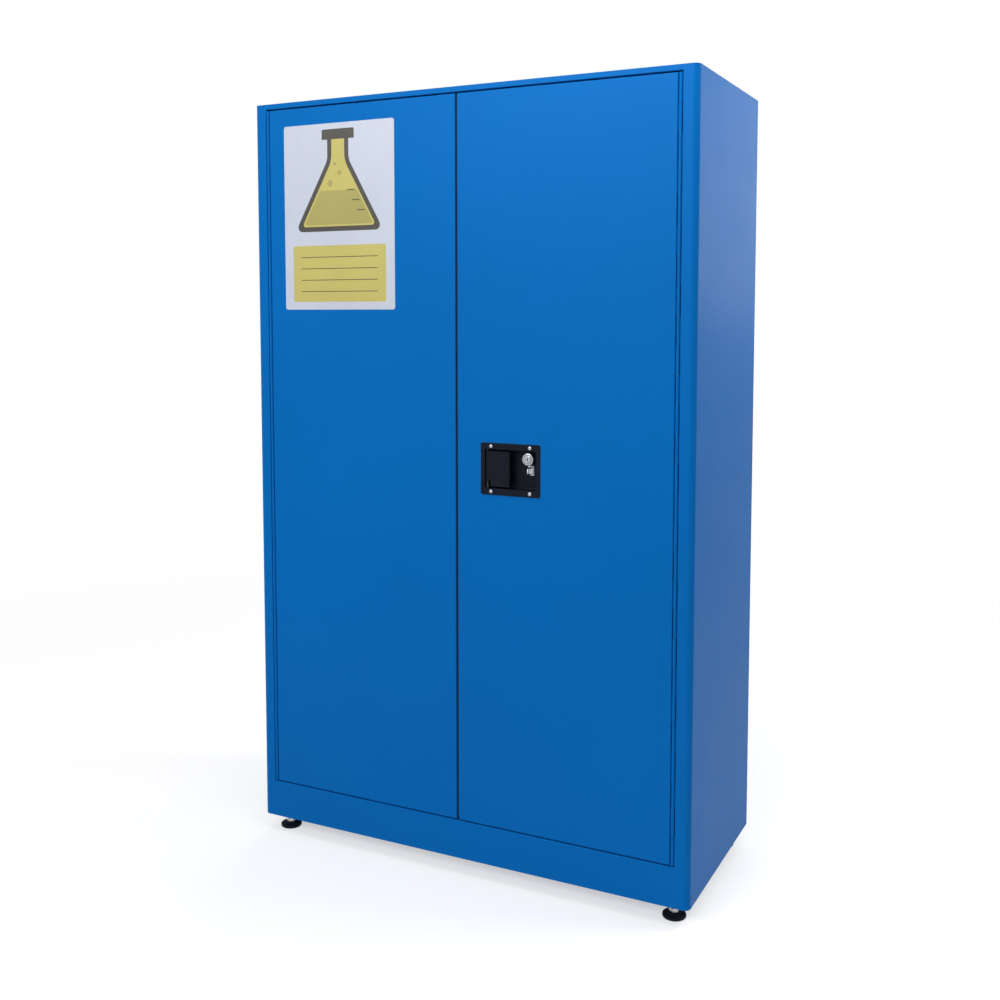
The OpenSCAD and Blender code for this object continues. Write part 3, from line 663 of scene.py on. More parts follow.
def dress(node, finish_kind, width=0.3, segments=2, angle=35):
    """Broken edges, clean faces and a finish on the shape of a CAD node."""
    source = frame["nodes"][node]
    ob = bpy.data.objects.new(node + "_piece", source.data.copy())
    bpy.context.scene.collection.objects.link(ob)
    pick_all(ob)
    bpy.ops.mesh.remove_doubles(threshold=DOUBLES)
    bpy.ops.mesh.customdata_custom_splitnormals_clear()
    merge_flats(ob)
    soften(ob, width, segments, angle)
    return fit(ob, finish_kind, node)


def fit(ob, finish_kind, *nodes, body=None):
    """Gives a finished piece its finish and its body, and hides the CAD nodes that it stands for."""
    ob.data.materials.clear()
    ob.data.materials.append(finish(finish_kind))
    for face in ob.data.polygons:
        face.material_index = 0
    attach(ob, body or frame["nodes"][nodes[0]]["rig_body"])
    if nodes:
        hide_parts(*nodes)
    return ob


class CabinetPiece:
    """What every piece's operator shares."""

    bl_options = {"REGISTER", "UNDO"}

    def execute(self, context):
        self.build()
        settle()
        return {"FINISHED"}


# ---------- body ----------


def frame_lines():
    """Places that the body's sheets share."""
    low, high = box_mm("side_panel_right")
    rail_low, rail_high = box_mm("top_panel")
    strike_low, strike_high = box_mm("strike_plates")
    opening = max(v.co.x for v in frame["nodes"]["front_sill"].data.vertices) / MM
    return SimpleNamespace(
        out=high.x, front=low.y, back=high.y, low=low.z, high=high.z, opening=opening,
        reach=opening + sizes().bend, land=box_mm("liner_right")[0].y - SHEET, landing_x=low.x,
        base=box_mm("sump_tray")[0].z, head=strike_high.z, sill=strike_low.z, top=rail_high.z,
        land_top=rail_low.z, land_sill=box_mm("front_sill")[1].z,
    )


def tip(node, up):
    """The middle of a rod's or bolt's tip, across and back."""
    points = [v.co / MM for v in frame["nodes"][node].data.vertices]
    end = (max if up else min)(p.z for p in points)
    lines = list(zip(*(p for p in points if close(p.z, end, 1))))[:2]
    return centre(map(min, lines), map(max, lines))


def tip_hole(ob, node, up, z):
    """Drills the hole that a rod's or bolt's tip passes through."""
    x, y = tip(node, up)
    drill(ob, (x, y, z - 5), (x, y, z + 5), TIP_HOLE)


class CABINET_OT_side_sheets(CabinetPiece, bpy.types.Operator):
    """Folds the two side sheets with their rounded front corners, stiles, jambs and landings"""

    bl_idname = "cabinet.side_sheets"
    bl_label = "Side sheets"

    def build(self):
        s, at = sizes(), frame_lines()
        back_lip = 20
        points = [
            (at.landing_x, at.land, 0), (at.opening, at.land, 0), (at.opening, at.front, 0),
            (at.out, at.front, 0), (at.out, at.back, 0), (at.out - back_lip, at.back, 0),
        ]
        bends = (s.bend, s.bend, s.corner, s.bend)
        ob = folded("side_sheet_right", points, (0, 0, 1), (at.low, at.high), (0, 1, 0), bends)
        inner = lambda f: f.calc_center_median().x / MM < at.opening + 0.1 and f.calc_center_median().y < 0.1
        pick(ob, "FACE", inner)
        bpy.ops.mesh.bisect(plane_co=(0, 0, at.base * MM), plane_no=(0, 0, 1))
        pick(ob, "FACE", lambda f: inner(f) and f.calc_center_median().z / MM < at.base)
        bpy.ops.mesh.delete(type="FACE")
        settle()
        thicken(ob)
        twin = mirrored(ob, "side_sheet_left")
        for piece, node in ((ob, "side_panel_right"), (twin, "side_panel_left")):
            soften(piece, s.edge)
            fit(piece, "blue_paint", node)


class CABINET_OT_top_sheet(CabinetPiece, bpy.types.Operator):
    """Folds the top sheet with the rail above the doors, its return and the upper landing"""

    bl_idname = "cabinet.top_sheet"
    bl_label = "Top sheet"

    def build(self):
        s, at = sizes(), frame_lines()
        brow = 0.8  # bend between the rail and the top
        points = [
            (0, at.land, at.land_top), (0, at.land, at.head), (0, at.front, at.head), (0, at.front, at.top),
            (0, box_mm("top_panel")[1].y, at.top),
        ]
        ob = folded("top_sheet", points, (1, 0, 0), (-at.reach, at.reach), (0, 1, 0), (s.bend, s.bend, brow))
        on_top = lambda e: close(middle(e).z, at.top) and runs(e, "Y")
        for side in (-1, 1):
            pick(ob, "EDGE", lambda e: on_top(e) and close(middle(e).x, side * at.reach))
            push((side * (at.out - at.reach), 0, 0))
        settle()
        corner = (at.out, at.front + brow, at.top)
        at_corner = lambda v: all(map(close, (abs(v.co.x) / MM, v.co.y / MM, v.co.z / MM), corner))
        round_corners(ob, s.corner - brow, at_corner)
        thicken(ob)
        for name in ("bolt_top", "rod_top"):
            tip_hole(ob, name, True, at.head)
        merge_flats(ob)
        soften(ob, s.edge)
        pick(ob, "VERT", lambda v: close(v.co.z / MM, at.top, 0.02))
        squeeze((1, 1, 0), (0, 0, at.top))
        smooth(ob)
        fit(ob, "blue_paint", "top_panel")


class CABINET_OT_sill_sheet(CabinetPiece, bpy.types.Operator):
    """Folds the sill below the doors with its return and the lower landing"""

    bl_idname = "cabinet.sill_sheet"
    bl_label = "Sill sheet"

    def build(self):
        s, at = sizes(), frame_lines()
        points = [
            (0, at.front, at.low), (0, at.front, at.sill), (0, at.land, at.sill), (0, at.land, at.land_sill),
        ]
        ob = folded("sill_sheet", points, (1, 0, 0), (-at.reach, at.reach), (0, 1, 0), (s.bend, s.bend))
        thicken(ob)
        for name in ("bolt_bottom", "rod_bottom"):
            tip_hole(ob, name, False, at.sill)
        soften(ob, s.edge)
        fit(ob, "blue_paint", "front_sill")


class CABINET_OT_inner_sheets(CabinetPiece, bpy.types.Operator):
    """Finishes the base, back and lining sheets and the spill sump"""

    bl_idname = "cabinet.inner_sheets"
    bl_label = "Back, base and lining"

    def build(self):
        for node in (
            "base_panel", "back_panel", "liner_left", "liner_right", "liner_back", "liner_top", "sump_tray",
        ):
            dress(node, "blue_paint", sizes().edge)


class CABINET_OT_shelves(CabinetPiece, bpy.types.Operator):
    """Finishes the lipped shelves with their slotted uprights and clips"""

    bl_idname = "cabinet.shelves"
    bl_label = "Shelves"

    def build(self):
        for node in ("shelf_lower", "shelf_middle", "shelf_upper"):
            dress(node, "shelf_steel", 0.5, 3)
        dress("shelf_uprights", "shelf_steel", 0.2, 1)
        dress("shelf_clips", "zinc_steel", 0.3, 1)


# ---------- doors ----------


def door_shell(name, node):
    """A door's front sheet with its four folded edges, open at the back."""
    s = sizes()
    low, high = box_mm(node)
    ob = block(name, low, high)
    pick(ob, "FACE", lambda f: faces_way(f, (0, 1, 0)))
    bpy.ops.mesh.delete(type="ONLY_FACE")
    settle()
    round_edges(ob, s.door_edge, lambda e: close(middle(e).y, low.y), 6)
    upright = lambda e: runs(e, "Y") and (high - low).y / 2 > abs(middle(e).y - (low.y + high.y) / 2)
    round_edges(ob, 1.0, upright, 3)
    return modifier(ob, "SOLIDIFY", thickness=SHEET * MM, offset=-1, use_even_offset=True)


class CABINET_OT_doors(CabinetPiece, bpy.types.Operator):
    """Shapes the two door shells, with the cutout of the latch and the holes of the rods and bolts"""

    bl_idname = "cabinet.doors"
    bl_label = "Doors"

    def build(self):
        for side, ends in (("left", ("bolt_top", "bolt_bottom")), ("right", ("rod_top", "rod_bottom"))):
            node = f"door_{side}_skin"
            low, high = box_mm(node)
            ob = door_shell(f"door_{side}_shell", node)
            for name, up, z in zip(ends, (True, False), (high.z, low.z)):
                tip_hole(ob, name, up, z)
            if side == "right":
                start, end = box_mm("latch_dish")
                across, up = 7.5, 11.5  # how far the flange laps over the cutout
                carve(ob, block(
                    "cutter", (start.x + across, low.y - 5, start.z + up), (end.x - across, low.y + 5, end.z - up)
                ))
            soften(ob, 0.25)
            fit(ob, "blue_paint", node)
            dress(f"door_{side}_liner", "blue_paint", 0.3)


class CABINET_OT_seals(CabinetPiece, bpy.types.Operator):
    """Rounds the rubber seals behind the doors and the meeting seal between them"""

    bl_idname = "cabinet.seals"
    bl_label = "Seals"

    def build(self):
        for node in ("door_left_gasket", "door_right_gasket"):
            dress(node, "seal_rubber", 1.5, 4)
        dress("meeting_seal", "seal_rubber", 1.2, 4)


class CABINET_OT_hinges(CabinetPiece, bpy.types.Operator):
    """Finishes the continuous hinges, painted over with the body, and their pins and rivets"""

    bl_idname = "cabinet.hinges"
    bl_label = "Hinges"

    def build(self):
        for side in ("left", "right"):
            for leaf in ("frame", "door"):
                dress(f"hinge_{leaf}_leaf_{side}", "blue_paint", 0.25, 1, 50)
            dress(f"hinge_pin_{side}", "bare_steel", 0.2, 1)
            dress(f"hinge_rivets_{side}", "blue_paint", 0.2, 2, 50)
        dress("hinge_rivets_frame", "blue_paint", 0.2, 2, 50)


# ---------- contents plate ----------


def flat_shape(name, place, width, height):
    """An upright sheet face, seen from the front."""
    settle()
    bpy.ops.mesh.primitive_plane_add(size=MM, location=Vector(place) * MM, rotation=(math.pi / 2, 0, 0))
    bpy.context.object.scale = (width, height, 1)
    return named(name)


def print_layer(ob, depth=0.05):
    """Gives a printed shape its thickness, behind its face."""
    pick_all(ob, "FACE")
    bpy.ops.mesh.normals_make_consistent(inside=False)
    mesh = bmesh.from_edit_mesh(ob.data)
    mesh.faces.ensure_lookup_table()
    if mesh.faces[0].normal.y > 0:
        bpy.ops.mesh.flip_normals()
    settle()
    return modifier(ob, "SOLIDIFY", thickness=depth * MM, offset=-1)


def drawn(name, y, points):
    """An upright flat shape with its corners at the points, given on the right side from the bottom up."""
    whole_line = [*points, *((-px, pz) for px, pz in reversed(points))]
    ob = trail(name, [(px, y, pz) for px, pz in whole_line])
    bpy.ops.mesh.edge_face_add()
    settle()
    return ob


def flask_side(width, body, neck, foot, inset_by):
    """Half width of the flask's cone at a height, and the height where the cone meets the neck."""
    slope = (width - neck) / 2 / body
    reach = inset_by * math.sqrt(1 + slope * slope)
    at = lambda height: width / 2 - (height - foot) * slope - reach
    meet = foot + ((width - neck) / 2 - reach + inset_by) / slope
    return at, meet


class CABINET_OT_contents_plate(CabinetPiece, bpy.types.Operator):
    """Makes the contents plate with its printed flask figure and a blank write-on field"""

    bl_idname = "cabinet.contents_plate"
    bl_label = "Contents plate"

    def build(self):
        s = sizes()
        low, high = box_mm("contents_plate")
        plate = block("contents_plate_piece", low, high)
        round_edges(plate, 6, lambda e: runs(e, "Y"), 8)
        soften(plate, 0.2)
        fit(plate, "plate_white", "contents_plate")
        width, tall = (high - low).x, (high - low).z
        x, face = centre(low, high)[0], low.y - PRINT_LIFT
        # Factors of width and tall are shares of the plate
        shapes = self.flask(x, face, high.z - tall * 0.577, width * 0.80, tall * 0.545)
        field = flat_shape("write_on_field", (x, face, low.z + tall * 0.195), width * 0.845, tall * 0.305)
        round_corners(field, 5, lambda v: True, 5)
        bars = [field]
        for row in range(s.rules):
            height = low.z + tall * (0.285 - 0.062 * row)
            bars.append(flat_shape(f"blank_rule_{row + 1}", (x, face - PRINT_STEP, height), width * 0.70, 1.6))
        for ob, kind in shapes:
            fit(print_layer(ob), kind, body="left_door")
        for ob in bars:
            fit(print_layer(ob), "print_yellow" if ob is field else "print_ink", body="left_door")

    def flask(self, x, y, foot, width, height):
        """The printed figure: a conical flask half full, with its marks and three bubbles."""
        line, neck, body = sizes().outline, width * 0.24, height * 0.70
        lip = foot + height * 0.90
        _, shoulder = flask_side(width, body, neck, foot, 0)
        outline = drawn(
            "flask_outline", y,
            [(width / 2, foot), (neck / 2, shoulder), (neck / 2, lip), (neck * 0.76, lip),
             (neck * 0.76, foot + height)],
        )
        inner, shoulder_in = flask_side(width, body, neck, foot, line)
        base = foot + line
        fill = drawn(
            "flask_body", y - PRINT_STEP,
            [(inner(base), base), (neck / 2 - line, shoulder_in), (neck / 2 - line, lip)],
        )
        gap = 4
        wet, _ = flask_side(width, body, neck, foot, line + gap)
        level, bottom = foot + height * 0.40, base + gap
        liquid = drawn("flask_liquid", y - 2 * PRINT_STEP, [(wet(bottom), bottom), (wet(level), level)])
        at = lambda height: lambda v: close(v.co.z / MM, height)
        for ob, radius, height_at in (
            (outline, 22, foot), (outline, 10, shoulder), (outline, 4, foot + height), (fill, 12, base),
            (fill, 14, shoulder_in), (liquid, 9, bottom),
        ):
            round_corners(ob, radius, at(height_at), 7)
        shapes = [(outline, "print_ink"), (fill, "print_yellow"), (liquid, "print_liquid")]
        front = y - 3 * PRINT_STEP
        for number in range(3):
            mark = foot + height * (0.20 + 0.10 * number)
            bar = flat_shape(f"flask_mark_{number + 1}", (inner(mark) - 20, front, mark), 20, 2.2)
            shapes.append((bar, "print_ink"))
        for number, (across, up, radius) in enumerate(((-22, 0.47, 7.5), (4, 0.57, 5.5), (-8, 0.66, 4.0))):
            settle()
            bpy.ops.mesh.primitive_circle_add(
                vertices=32, radius=radius * MM, fill_type="NGON", rotation=(math.pi / 2, 0, 0),
                location=Vector((across, front, foot + height * up)) * MM,
            )
            shapes.append((named(f"flask_bubble_{number + 1}"), "print_liquid"))
        for ob, _ in shapes:
            moved(ob, (x, 0, 0))
        return shapes


# ---------- latch and lock ----------


class CABINET_OT_latch_dish(CabinetPiece, bpy.types.Operator):
    """Moulds the latch's recessed dish with its flange and the slot for the paddle's tail"""

    bl_idname = "cabinet.latch_dish"
    bl_label = "Latch dish"

    def build(self):
        low, high = box_mm("latch_dish")
        x, _, z = centre(low, high)
        wide, deep, tall = (high - low).x, high.y - low.y, (high - low).z
        flange, side_rim, top_rim = 2, 8, 12
        ob = block("latch_dish_piece", low, (high.x, low.y + flange, high.z))
        # The outside of the dish first, then its inside, each inset from the flange's edge
        for way, skin, depth in ((1, 0, deep - flange), (-1, DISH_WALL, deep - DISH_WALL)):
            pick(ob, "FACE", lambda f: faces_way(f, (0, way, 0)))
            inset(side_rim + skin)
            squeeze((1, 1, (tall - 2 * (top_rim + skin)) / (tall - 2 * (side_rim + skin))), (x, low.y, z))
            push((0, depth, 0))
        settle()
        floor = high.y - DISH_WALL
        lies_at = lambda e, y: all(close(v.co.y / MM, y) for v in e.verts)
        inside = lambda e: (
            abs(middle(e).x - x) < wide / 2 - side_rim - 1 and abs(middle(e).z - z) < tall / 2 - top_rim - 1
        )
        round_edges(ob, 4, lambda e: runs(e, "Y") and abs(middle(e).x - x) > wide / 2 - 1, 6)
        round_edges(ob, sizes().pocket, lambda e: runs(e, "Y") and inside(e), 6)
        round_edges(ob, 2.5, lambda e: lies_at(e, floor), 4)
        round_edges(ob, 0.8, lambda e: lies_at(e, low.y) and inside(e), 3)
        px, py, _ = centre(*box_mm("paddle_pin"))
        slot = block("slot", (px - 4, floor - 1, z - 10), (px + 20.8, high.y + 1, z + 10))
        round_edges(slot, 1.5, lambda e: runs(e, "Y"), 4)
        carve(ob, slot)
        lx, _, lz = centre(*box_mm("lock_housing"))
        drill(ob, (lx, floor - 2, lz), (lx, high.y + 2, lz), 10.05, 48)
        drill(ob, (px, py, z - tall / 2), (px, py, z + tall / 2), PIN_BORE, 24)
        soften(ob, 0.45, 3, 50)
        fit(ob, "black_plastic", "latch_dish")


class CABINET_OT_latch_paddle(CabinetPiece, bpy.types.Operator):
    """Moulds the paddle with its barrel, grip ridge and tail, and turns its pin and spring"""

    bl_idname = "cabinet.latch_paddle"
    bl_label = "Latch paddle"

    def build(self):
        low, high = box_mm("latch_paddle")
        pin_low, pin_high = box_mm("paddle_pin")
        spring_low, spring_high = box_mm("paddle_spring")
        px, py, z = centre(pin_low, pin_high)
        half, front = 38, py - 3.6
        back, barrel_low = front + 5, spring_high.z + 1.25
        ob = block("latch_paddle_piece", (px, front, z - half), (high.x, back, z + half))
        carve(ob, block("cutter", (px - 5, front - 5, z - 50), (px + 8, front + 15, barrel_low)))
        pick(ob, "FACE", lambda f: faces_way(f, (0, -1, 0)))
        inset(3.5)
        inset(1.0, -0.6)
        settle()
        ridge = block("ridge", (high.x - 6, low.y, z - half), (high.x, back, z + half))
        round_edges(ridge, 1.6, lambda e: close(middle(e).y, low.y), 4)
        join(ob, ridge)
        join(ob, rod("barrel", (px, py, barrel_low), (px, py, high.z), 4))
        tail = block("tail", (px - 2, py, z - 7.5), (px + 2, high.y, z + 7.5))
        round_edges(tail, 1.9, lambda e: close(middle(e).y, high.y) and runs(e, "Z"), 4)
        join(ob, tail)
        drill(ob, (px, py, low.z - 5), (px, py, high.z + 5), PIN_BORE)
        soften(ob, 0.5, 3, 50)
        fit(ob, "black_plastic", "latch_paddle")
        pin = lathe(
            "paddle_pin_piece", (px, py, 0), "Z",
            [(pin_low.z, 0), (pin_low.z, 1.6), (pin_low.z + 0.4, 2), (pin_high.z - 0.4, 2), (pin_high.z, 1.6),
             (pin_high.z, 0)], 32,
        )
        fit(smooth(pin), "black_steel", "paddle_pin")
        self.coil(px, py, spring_low, spring_high)

    def coil(self, px, py, low, high):
        """Winds the torsion spring round the pin."""
        wire, turns = 0.65, 8
        radius = (high - low).x / 2 - wire
        rise = ((high - low).z - 2 * wire) / turns
        settle()
        bpy.ops.mesh.primitive_circle_add(
            vertices=10, radius=wire * MM, fill_type="NOTHING", location=(radius * MM, 0, 0),
            rotation=(math.pi / 2, 0, 0),
        )
        ob = named("paddle_spring_piece")
        modifier(
            ob, "SCREW", angle=math.tau, screw_offset=rise * MM, iterations=turns, steps=28, render_steps=28,
            use_merge_vertices=True, merge_threshold=0.000001,
        )
        pick(ob, "EDGE", lambda e: e.is_boundary)
        bpy.ops.mesh.edge_face_add()
        whole(ob)
        moved(ob, (px, py, low.z + wire))
        fit(smooth(ob, 60), "black_steel", "paddle_spring")


class CABINET_OT_latch_screws(CabinetPiece, bpy.types.Operator):
    """Makes one cross-recess screw and sets four of them in the flange"""

    bl_idname = "cabinet.latch_screws"
    bl_label = "Latch screws"

    def build(self):
        low, high = box_mm("latch_screws")
        flange, radius = box_mm("latch_dish")[0].y, 4
        first = (low.x + radius, flange, low.z + radius)
        head = [
            (-1.2, 0), (-1.2, 2.1), (-1.05, 2.9), (-0.7, 3.6), (-0.25, 3.95), (0, radius), (0, 2),
            (high.y - flange - 1.5, 2), (high.y - flange, 0),
        ]
        one = lathe("latch_screw_1", first, "Y", head, 40)
        x, y, z = first
        for half_x, half_z in ((2.3, 0.45), (0.45, 2.3)):
            carve(one, block("driver", (x - half_x, y - 3, z - half_z), (x + half_x, y - 0.45, z + half_z)))
        smooth(one, 40)
        across, up = (high - low).x - 2 * radius, (high - low).z - 2 * radius
        pieces = [one]
        for number, move in enumerate(((across, 0, 0), (0, 0, up), (across, 0, up)), 2):
            pieces.append(moved(copied(one, f"latch_screw_{number}"), move))
        for number, ob in enumerate(pieces):
            fit(ob, "chrome", *(("latch_screws",) if number == 0 else ()), body="right_door")


class CABINET_OT_lock(CabinetPiece, bpy.types.Operator):
    """Turns the lock's housing and plug, cuts the keyway and finishes the cam behind them"""

    bl_idname = "cabinet.lock"
    bl_label = "Lock"

    def build(self):
        low, high = box_mm("lock_housing")
        x, _, z = centre(low, high)
        floor = box_mm("latch_dish")[1].y - DISH_WALL
        front, back = low.y, high.y
        ring = [
            (back, 8.05), (front + 1.2, 8.05), (front + 0.6, 8.4), (front + 0.6, 9.4), (front, 10.0), (front, 11.6),
            (front + 0.3, 12.5), (front + 1.1, 13), (floor, 13), (floor, 10), (back, 10), (back, 8.05),
        ]
        housing = lathe("lock_housing_piece", (x, 0, z), "Y", ring, 64)
        fit(smooth(housing), "chrome", "lock_housing")
        front, back = (corner.y for corner in box_mm("lock_plug"))
        shape = [
            (front, 0), (front, 5.6), (front + 0.25, 5.9), (front, 6.2), (front, 7.3), (front + 0.2, 7.8),
            (front + 0.7, 8), (back, 8), (back, 0),
        ]
        plug = lathe("lock_plug_piece", (x, 0, z), "Y", shape, 64)
        carve(plug, block("key", (x - 0.9, front - 2, z - 4), (x + 0.9, front + 6, z + 4)))
        carve(plug, block("ward", (x - 1.6, front - 2, z - 0.4), (x + 0.2, front + 6, z + 0.9)))
        fit(smooth(plug), "chrome", "lock_plug")
        dress("lock_cam", "bare_steel", 0.3)


class CABINET_OT_padlock_staple(CabinetPiece, bpy.types.Operator):
    """Bends the wire staple for a padlock and sets it on its base plate"""

    bl_idname = "cabinet.padlock_staple"
    bl_label = "Padlock staple"

    def build(self):
        low, high = box_mm("padlock_staple")
        rim, plate = 1.5, 1.2
        wire = centre(*box_mm("paddle_pin"))[1] - low.y
        x, _, z = centre(low, high)
        reach = (high - low).z / 2 - rim - wire
        bend = low.y + wire + reach
        ob = block("padlock_staple_piece", (low.x, high.y - plate, low.z), high)
        round_edges(ob, rim, lambda e: runs(e, "Y"), 4)
        soften(ob, 0.25)
        settle()
        bpy.ops.mesh.primitive_circle_add(
            vertices=24, radius=wire * MM, fill_type="NGON", location=Vector((x, bend, z + reach)) * MM,
            rotation=(math.pi / 2, 0, 0),
        )
        loop = named("staple_wire")
        pick_all(loop, "FACE")
        bpy.ops.mesh.spin(steps=28, angle=-math.pi, center=Vector((x, bend, z)) * MM, axis=(1, 0, 0))
        settle()
        end = high.y - plate / 2
        ends = lambda f: len(f.verts) > 4 and close(f.calc_center_median().y / MM, bend, 0.2)
        for side in (1, -1):
            pick(loop, "FACE", lambda f: ends(f) and close(f.calc_center_median().z / MM, z + side * reach, 0.2))
            push((0, end - bend, 0))
        whole(loop)
        if min(v.co.y for v in loop.data.vertices) / MM > low.y + 0.1:
            raise RuntimeError("the staple's bend points into the dish's floor")
        join(ob, loop)
        smooth(ob, 40)
        fit(ob, "chrome", "padlock_staple")


class CABINET_OT_rods_and_bolts(CabinetPiece, bpy.types.Operator):
    """Finishes the locking rods, their guides, the slide bolts with their knobs and the strike plates"""

    bl_idname = "cabinet.rods_and_bolts"
    bl_label = "Rods and bolts"

    def build(self):
        for node in ("rod_top", "rod_bottom"):
            dress(node, "bare_steel", 0.5, 2, 50)
        for node in ("bolt_top", "bolt_bottom"):
            dress(node, "zinc_steel", 0.6, 3, 50)
        for node in ("bolt_guides", "rod_guides", "strike_plates"):
            dress(node, "zinc_steel", 0.3, 2, 50)


# ---------- feet ----------


def hex_nut(name, x, y, low, high, radius, bore):
    """A hexagon nut with chamfered corners and a countersunk bore."""
    ob = rod(name, (x, y, low), (x, y, high), radius, 6)
    narrow, wide, sunk = radius * 0.87, radius * 1.01, bore + 1.8
    cone = [(low, 0), (low, narrow), (low + 1, wide), (high - 1, wide), (high, narrow), (high, 0)]
    carve(ob, lathe("chamfer", (x, y, 0), "Z", cone, 48), "INTERSECT")
    hole = [(low - 1, 0), (low - 1, sunk), (low + 0.8, bore), (high - 0.8, bore), (high + 1, sunk), (high + 1, 0)]
    carve(ob, lathe("hole", (x, y, 0), "Z", hole, 40))
    return smooth(ob, 25)


def threaded_stud(name, x, y, low, thread_low, high, radius, pitch):
    """A stud with a rolled thread above a plain end."""
    root = radius - 0.61 * pitch
    turns = int((high - thread_low) / pitch) - 1
    ob = trail(name, [(root, 0, 0), (radius, 0, pitch * 0.44), (radius, 0, pitch * 0.56), (root, 0, pitch)])
    settle()
    modifier(
        ob, "SCREW", angle=math.tau, screw_offset=pitch * MM, iterations=turns, steps=20, render_steps=20,
        use_merge_vertices=True, merge_threshold=0.000001,
    )
    pick(ob, "EDGE", lambda e: e.is_boundary)
    bpy.ops.mesh.edge_face_add()
    whole(ob)
    moved(ob, (x, y, thread_low))
    shaft = root - 0.05
    line = [
        (low, 0), (low, radius), (thread_low + 0.5, radius), (thread_low + 1.5, shaft), (high - 0.8, shaft),
        (high, root - 1), (high, 0),
    ]
    core = lathe("core", (x, y, 0), "Z", line, 32)
    grab(ob)
    core.select_set(True)
    bpy.ops.object.join()
    return smooth(ob, 40)


class CABINET_OT_feet(CabinetPiece, bpy.types.Operator):
    """Turns one levelling foot, its threaded stud and its nuts, and sets four of each"""

    bl_idname = "cabinet.feet"
    bl_label = "Feet"

    def build(self):
        places = ("front_left", "front_right", "back_left", "back_right")
        nuts = {"foot_lock_nuts": [], "foot_weld_nuts": []}
        pieces = first = None
        for place in places:
            x, y, _ = centre(*box_mm("foot_pad_" + place))
            here = Vector((x, y, 0))
            if pieces:
                names = [part.name.replace(places[0], place) for part in pieces]
                kept = [moved(copied(part, name), here - first) for part, name in zip(pieces, names)]
            else:
                kept = pieces = self.one(place, here)
                first = here
            pad, stud, collar, lock, weld = kept
            fit(pad, "black_plastic", "foot_pad_" + place)
            fit(stud, "zinc_steel", "foot_stud_" + place)
            fit(collar, "zinc_steel", body="foot_" + place)
            nuts["foot_lock_nuts"].append(lock)
            nuts["foot_weld_nuts"].append(weld)
        for node, made in nuts.items():
            for number, ob in enumerate(made):
                fit(ob, "zinc_steel", *((node,) if number == 0 else ()), body="cabinet")

    def one(self, place, here):
        """The pad, stud, collar, lock nut and weld nut of one foot."""
        x, y = here.x, here.y
        stud_low, stud_high = box_mm("foot_stud_" + place)
        pad_low, pad_high = box_mm("foot_pad_" + place)
        wide, tall = (pad_high - pad_low).x / 2, pad_high.z
        lock_low, lock_high = box_mm("foot_lock_nuts")
        weld_low, weld_high = box_mm("foot_weld_nuts")
        nut, bore, socket = (stud_high - stud_low).x / 2, 5.6, 6.05
        profile = [
            (0, 0), (0, wide - 2.5), (0.5, wide - 1.0), (1.8, wide), (5.4, wide), (6.4, wide - 0.4),
            (tall - 0.7, nut + 2.6), (tall, nut + 1.6), (tall, socket), (stud_low.z, socket), (stud_low.z, 0),
        ]
        pad = lathe("pad_" + place, (x, y, 0), "Z", profile, 60)
        cone = lambda f: 0.2 < f.normal.z < 0.95 and tall * 0.55 < f.calc_center_median().z / MM < tall - 1
        pick(pad, "FACE", cone)
        inset(0.45, -0.35, each=True)
        settle()
        smooth(pad)
        collar_high = tall + (lock_high - lock_low).z
        collar = hex_nut("collar_" + place, x, y, tall, collar_high, nut, 5.5)
        stud = threaded_stud("stud_" + place, x, y, stud_low.z, collar_high, stud_high.z, 6, sizes().thread)
        lock = hex_nut("lock_nut_" + place, x, y, lock_low.z, lock_high.z, nut, bore)
        weld = hex_nut("weld_nut_" + place, x, y, weld_low.z, weld_high.z, nut, bore)
        return pad, stud, collar, lock, weld


# ---------- stage ----------


def mix_shaders(tree, factor, first, second):
    made = add_node(tree, "MixShader")
    for at, socket in enumerate((factor, first, second)):
        tree.links.new(socket, made.inputs[at])
    return made.outputs[0]


def seen_rays(tree):
    """1 for rays from the camera and for those that metal and glass send on."""
    path = add_node(tree, "LightPath")
    total = path.outputs["Is Camera Ray"]
    for name in ("Is Glossy Ray", "Is Transmission Ray"):
        larger = add_node(tree, "Math", {"operation": "MAXIMUM"})
        tree.links.new(total, larger.inputs[0])
        tree.links.new(path.outputs[name], larger.inputs[1])
        total = larger.outputs["Value"]
    return total


def floor_material():
    """Plain pale floor that keeps the shadow near the cabinet and runs out to white."""
    f = Finish("studio_floor", (FLOOR_GREY, FLOOR_GREY, FLOOR_GREY), 0.8)
    f.shader.inputs["Specular IOR Level"].default_value = 0.0
    far = f.add("VectorMath", {"operation": "LENGTH"})
    f.link(f.place, far.inputs[0])
    spread = f.ranged(far.outputs["Value"], 0.0, 1.0, *FLOOR_FADE)
    white = f.add("Emission", None, Strength=1.0)
    lift = f.add("Emission", None, Strength=FLOOR_LIFT)
    lifted = f.add("AddShader")
    f.link(f.shader.outputs[0], lifted.inputs[0])
    f.link(lift.outputs[0], lifted.inputs[1])
    shown = mix_shaders(f.tree, spread, lifted.outputs[0], white.outputs[0])
    both = mix_shaders(f.tree, seen_rays(f.tree), f.shader.outputs[0], shown)
    f.link(both, f.tree.nodes["Material Output"].inputs["Surface"])
    return f.material


def soft_light(name, place, aim, size, power):
    light = bpy.data.lights.new(name, "AREA")
    light.shape, light.size, light.size_y, light.energy = "RECTANGLE", *size, power
    ob = bpy.data.objects.new(name, light)
    ob.location = place
    ob.rotation_euler = (Vector(aim) - Vector(place)).to_track_quat("-Z", "Y").to_euler()
    ob.visible_camera = False
    bpy.context.scene.collection.objects.link(ob)


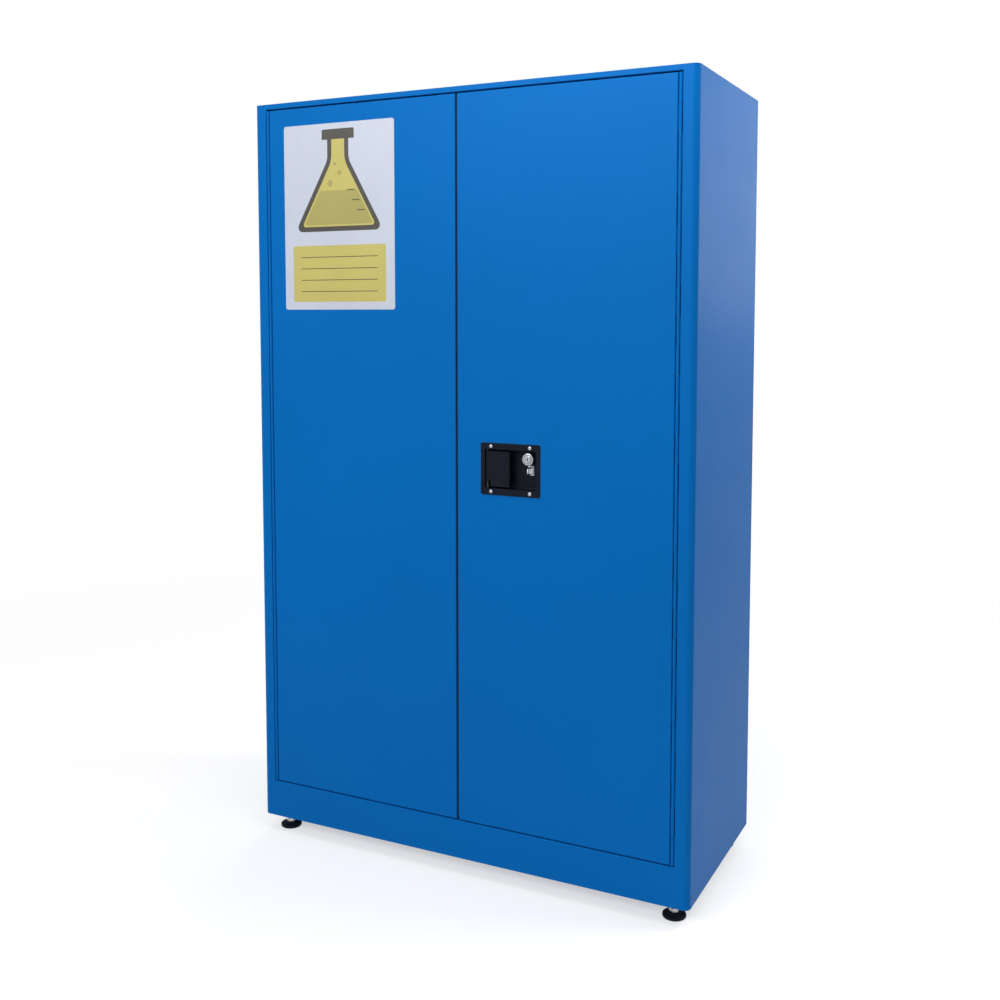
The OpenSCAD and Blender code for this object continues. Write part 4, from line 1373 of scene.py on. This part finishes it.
class CABINET_OT_stage(CabinetPiece, bpy.types.Operator):
    """Sets the camera, the pale floor, the white surround and the soft lights"""

    bl_idname = "cabinet.stage"
    bl_label = "Stage"

    def build(self):
        scene = bpy.context.scene
        scene.view_settings.view_transform = "Standard"
        camera = bpy.data.cameras.new("camera")
        camera.lens, camera.shift_y = 41.87, -0.100
        eye = bpy.data.objects.new("camera", camera)
        eye.location = (1.207, -2.446, 1.256)
        eye.rotation_euler = (math.radians(90 - 4.25), 0, math.radians(26.41))
        scene.collection.objects.link(eye)
        scene.camera = eye
        settle()
        bpy.ops.mesh.primitive_plane_add(size=16, location=(0, 0, -0.0005))
        floor = named("studio_floor")
        pick_all(floor, "FACE")
        bpy.ops.mesh.subdivide(number_cuts=7)
        settle()
        floor.data.materials.append(floor_material())
        self.surround(scene)
        for light in LIGHTS:
            soft_light(*light)

    def surround(self, scene):
        """White for rays that are seen, and dimmer on the cabinet."""
        world = scene.world = bpy.data.worlds.new("surround")
        world.use_nodes = True
        tree = world.node_tree
        tree.nodes.clear()
        dim, bright = (
            add_node(tree, "Background", None, Strength=strength, Color=(1, 1, 1, 1)).outputs[0]
            for strength in (SURROUND, 1.0)
        )
        shown = mix_shaders(tree, seen_rays(tree), dim, bright)
        tree.links.new(shown, add_node(tree, "OutputWorld").inputs["Surface"])


# ---------- the add-on ----------

PIECES = (
    CABINET_OT_stage, CABINET_OT_side_sheets, CABINET_OT_top_sheet, CABINET_OT_sill_sheet, CABINET_OT_inner_sheets,
    CABINET_OT_shelves, CABINET_OT_doors, CABINET_OT_seals, CABINET_OT_hinges, CABINET_OT_contents_plate,
    CABINET_OT_latch_dish, CABINET_OT_latch_paddle, CABINET_OT_latch_screws, CABINET_OT_lock,
    CABINET_OT_padlock_staple, CABINET_OT_rods_and_bolts, CABINET_OT_feet,
)


class CABINET_PT_pieces(bpy.types.Panel):
    """Lists the cabinet's pieces, sizes and colours"""

    bl_idname = "CABINET_PT_pieces"
    bl_label = "Reagent cabinet"
    bl_space_type = "VIEW_3D"
    bl_region_type = "UI"
    bl_category = "Cabinet"

    def draw(self, context):
        layout = self.layout
        for group in (context.scene.cabinet_sizes, context.scene.cabinet_colours):
            column = layout.column()
            for key in group.bl_rna.properties.keys():
                if key not in ("rna_type", "name"):
                    column.prop(group, key)
        column = layout.column()
        for piece in PIECES:
            column.operator(piece.bl_idname)


CLASSES = (CabinetSizes, CabinetColours, *PIECES, CABINET_PT_pieces)


def register():
    for one in CLASSES:
        bpy.utils.register_class(one)
    bpy.types.Scene.cabinet_sizes = PointerProperty(type=CabinetSizes)
    bpy.types.Scene.cabinet_colours = PointerProperty(type=CabinetColours)


def unregister():
    del bpy.types.Scene.cabinet_colours
    del bpy.types.Scene.cabinet_sizes
    for one in reversed(CLASSES):
        bpy.utils.unregister_class(one)


def main():
    register()
    for piece in PIECES:
        group, name = piece.bl_idname.split(".")
        getattr(getattr(bpy.ops, group), name)()


if __name__ == "__main__":
    main()
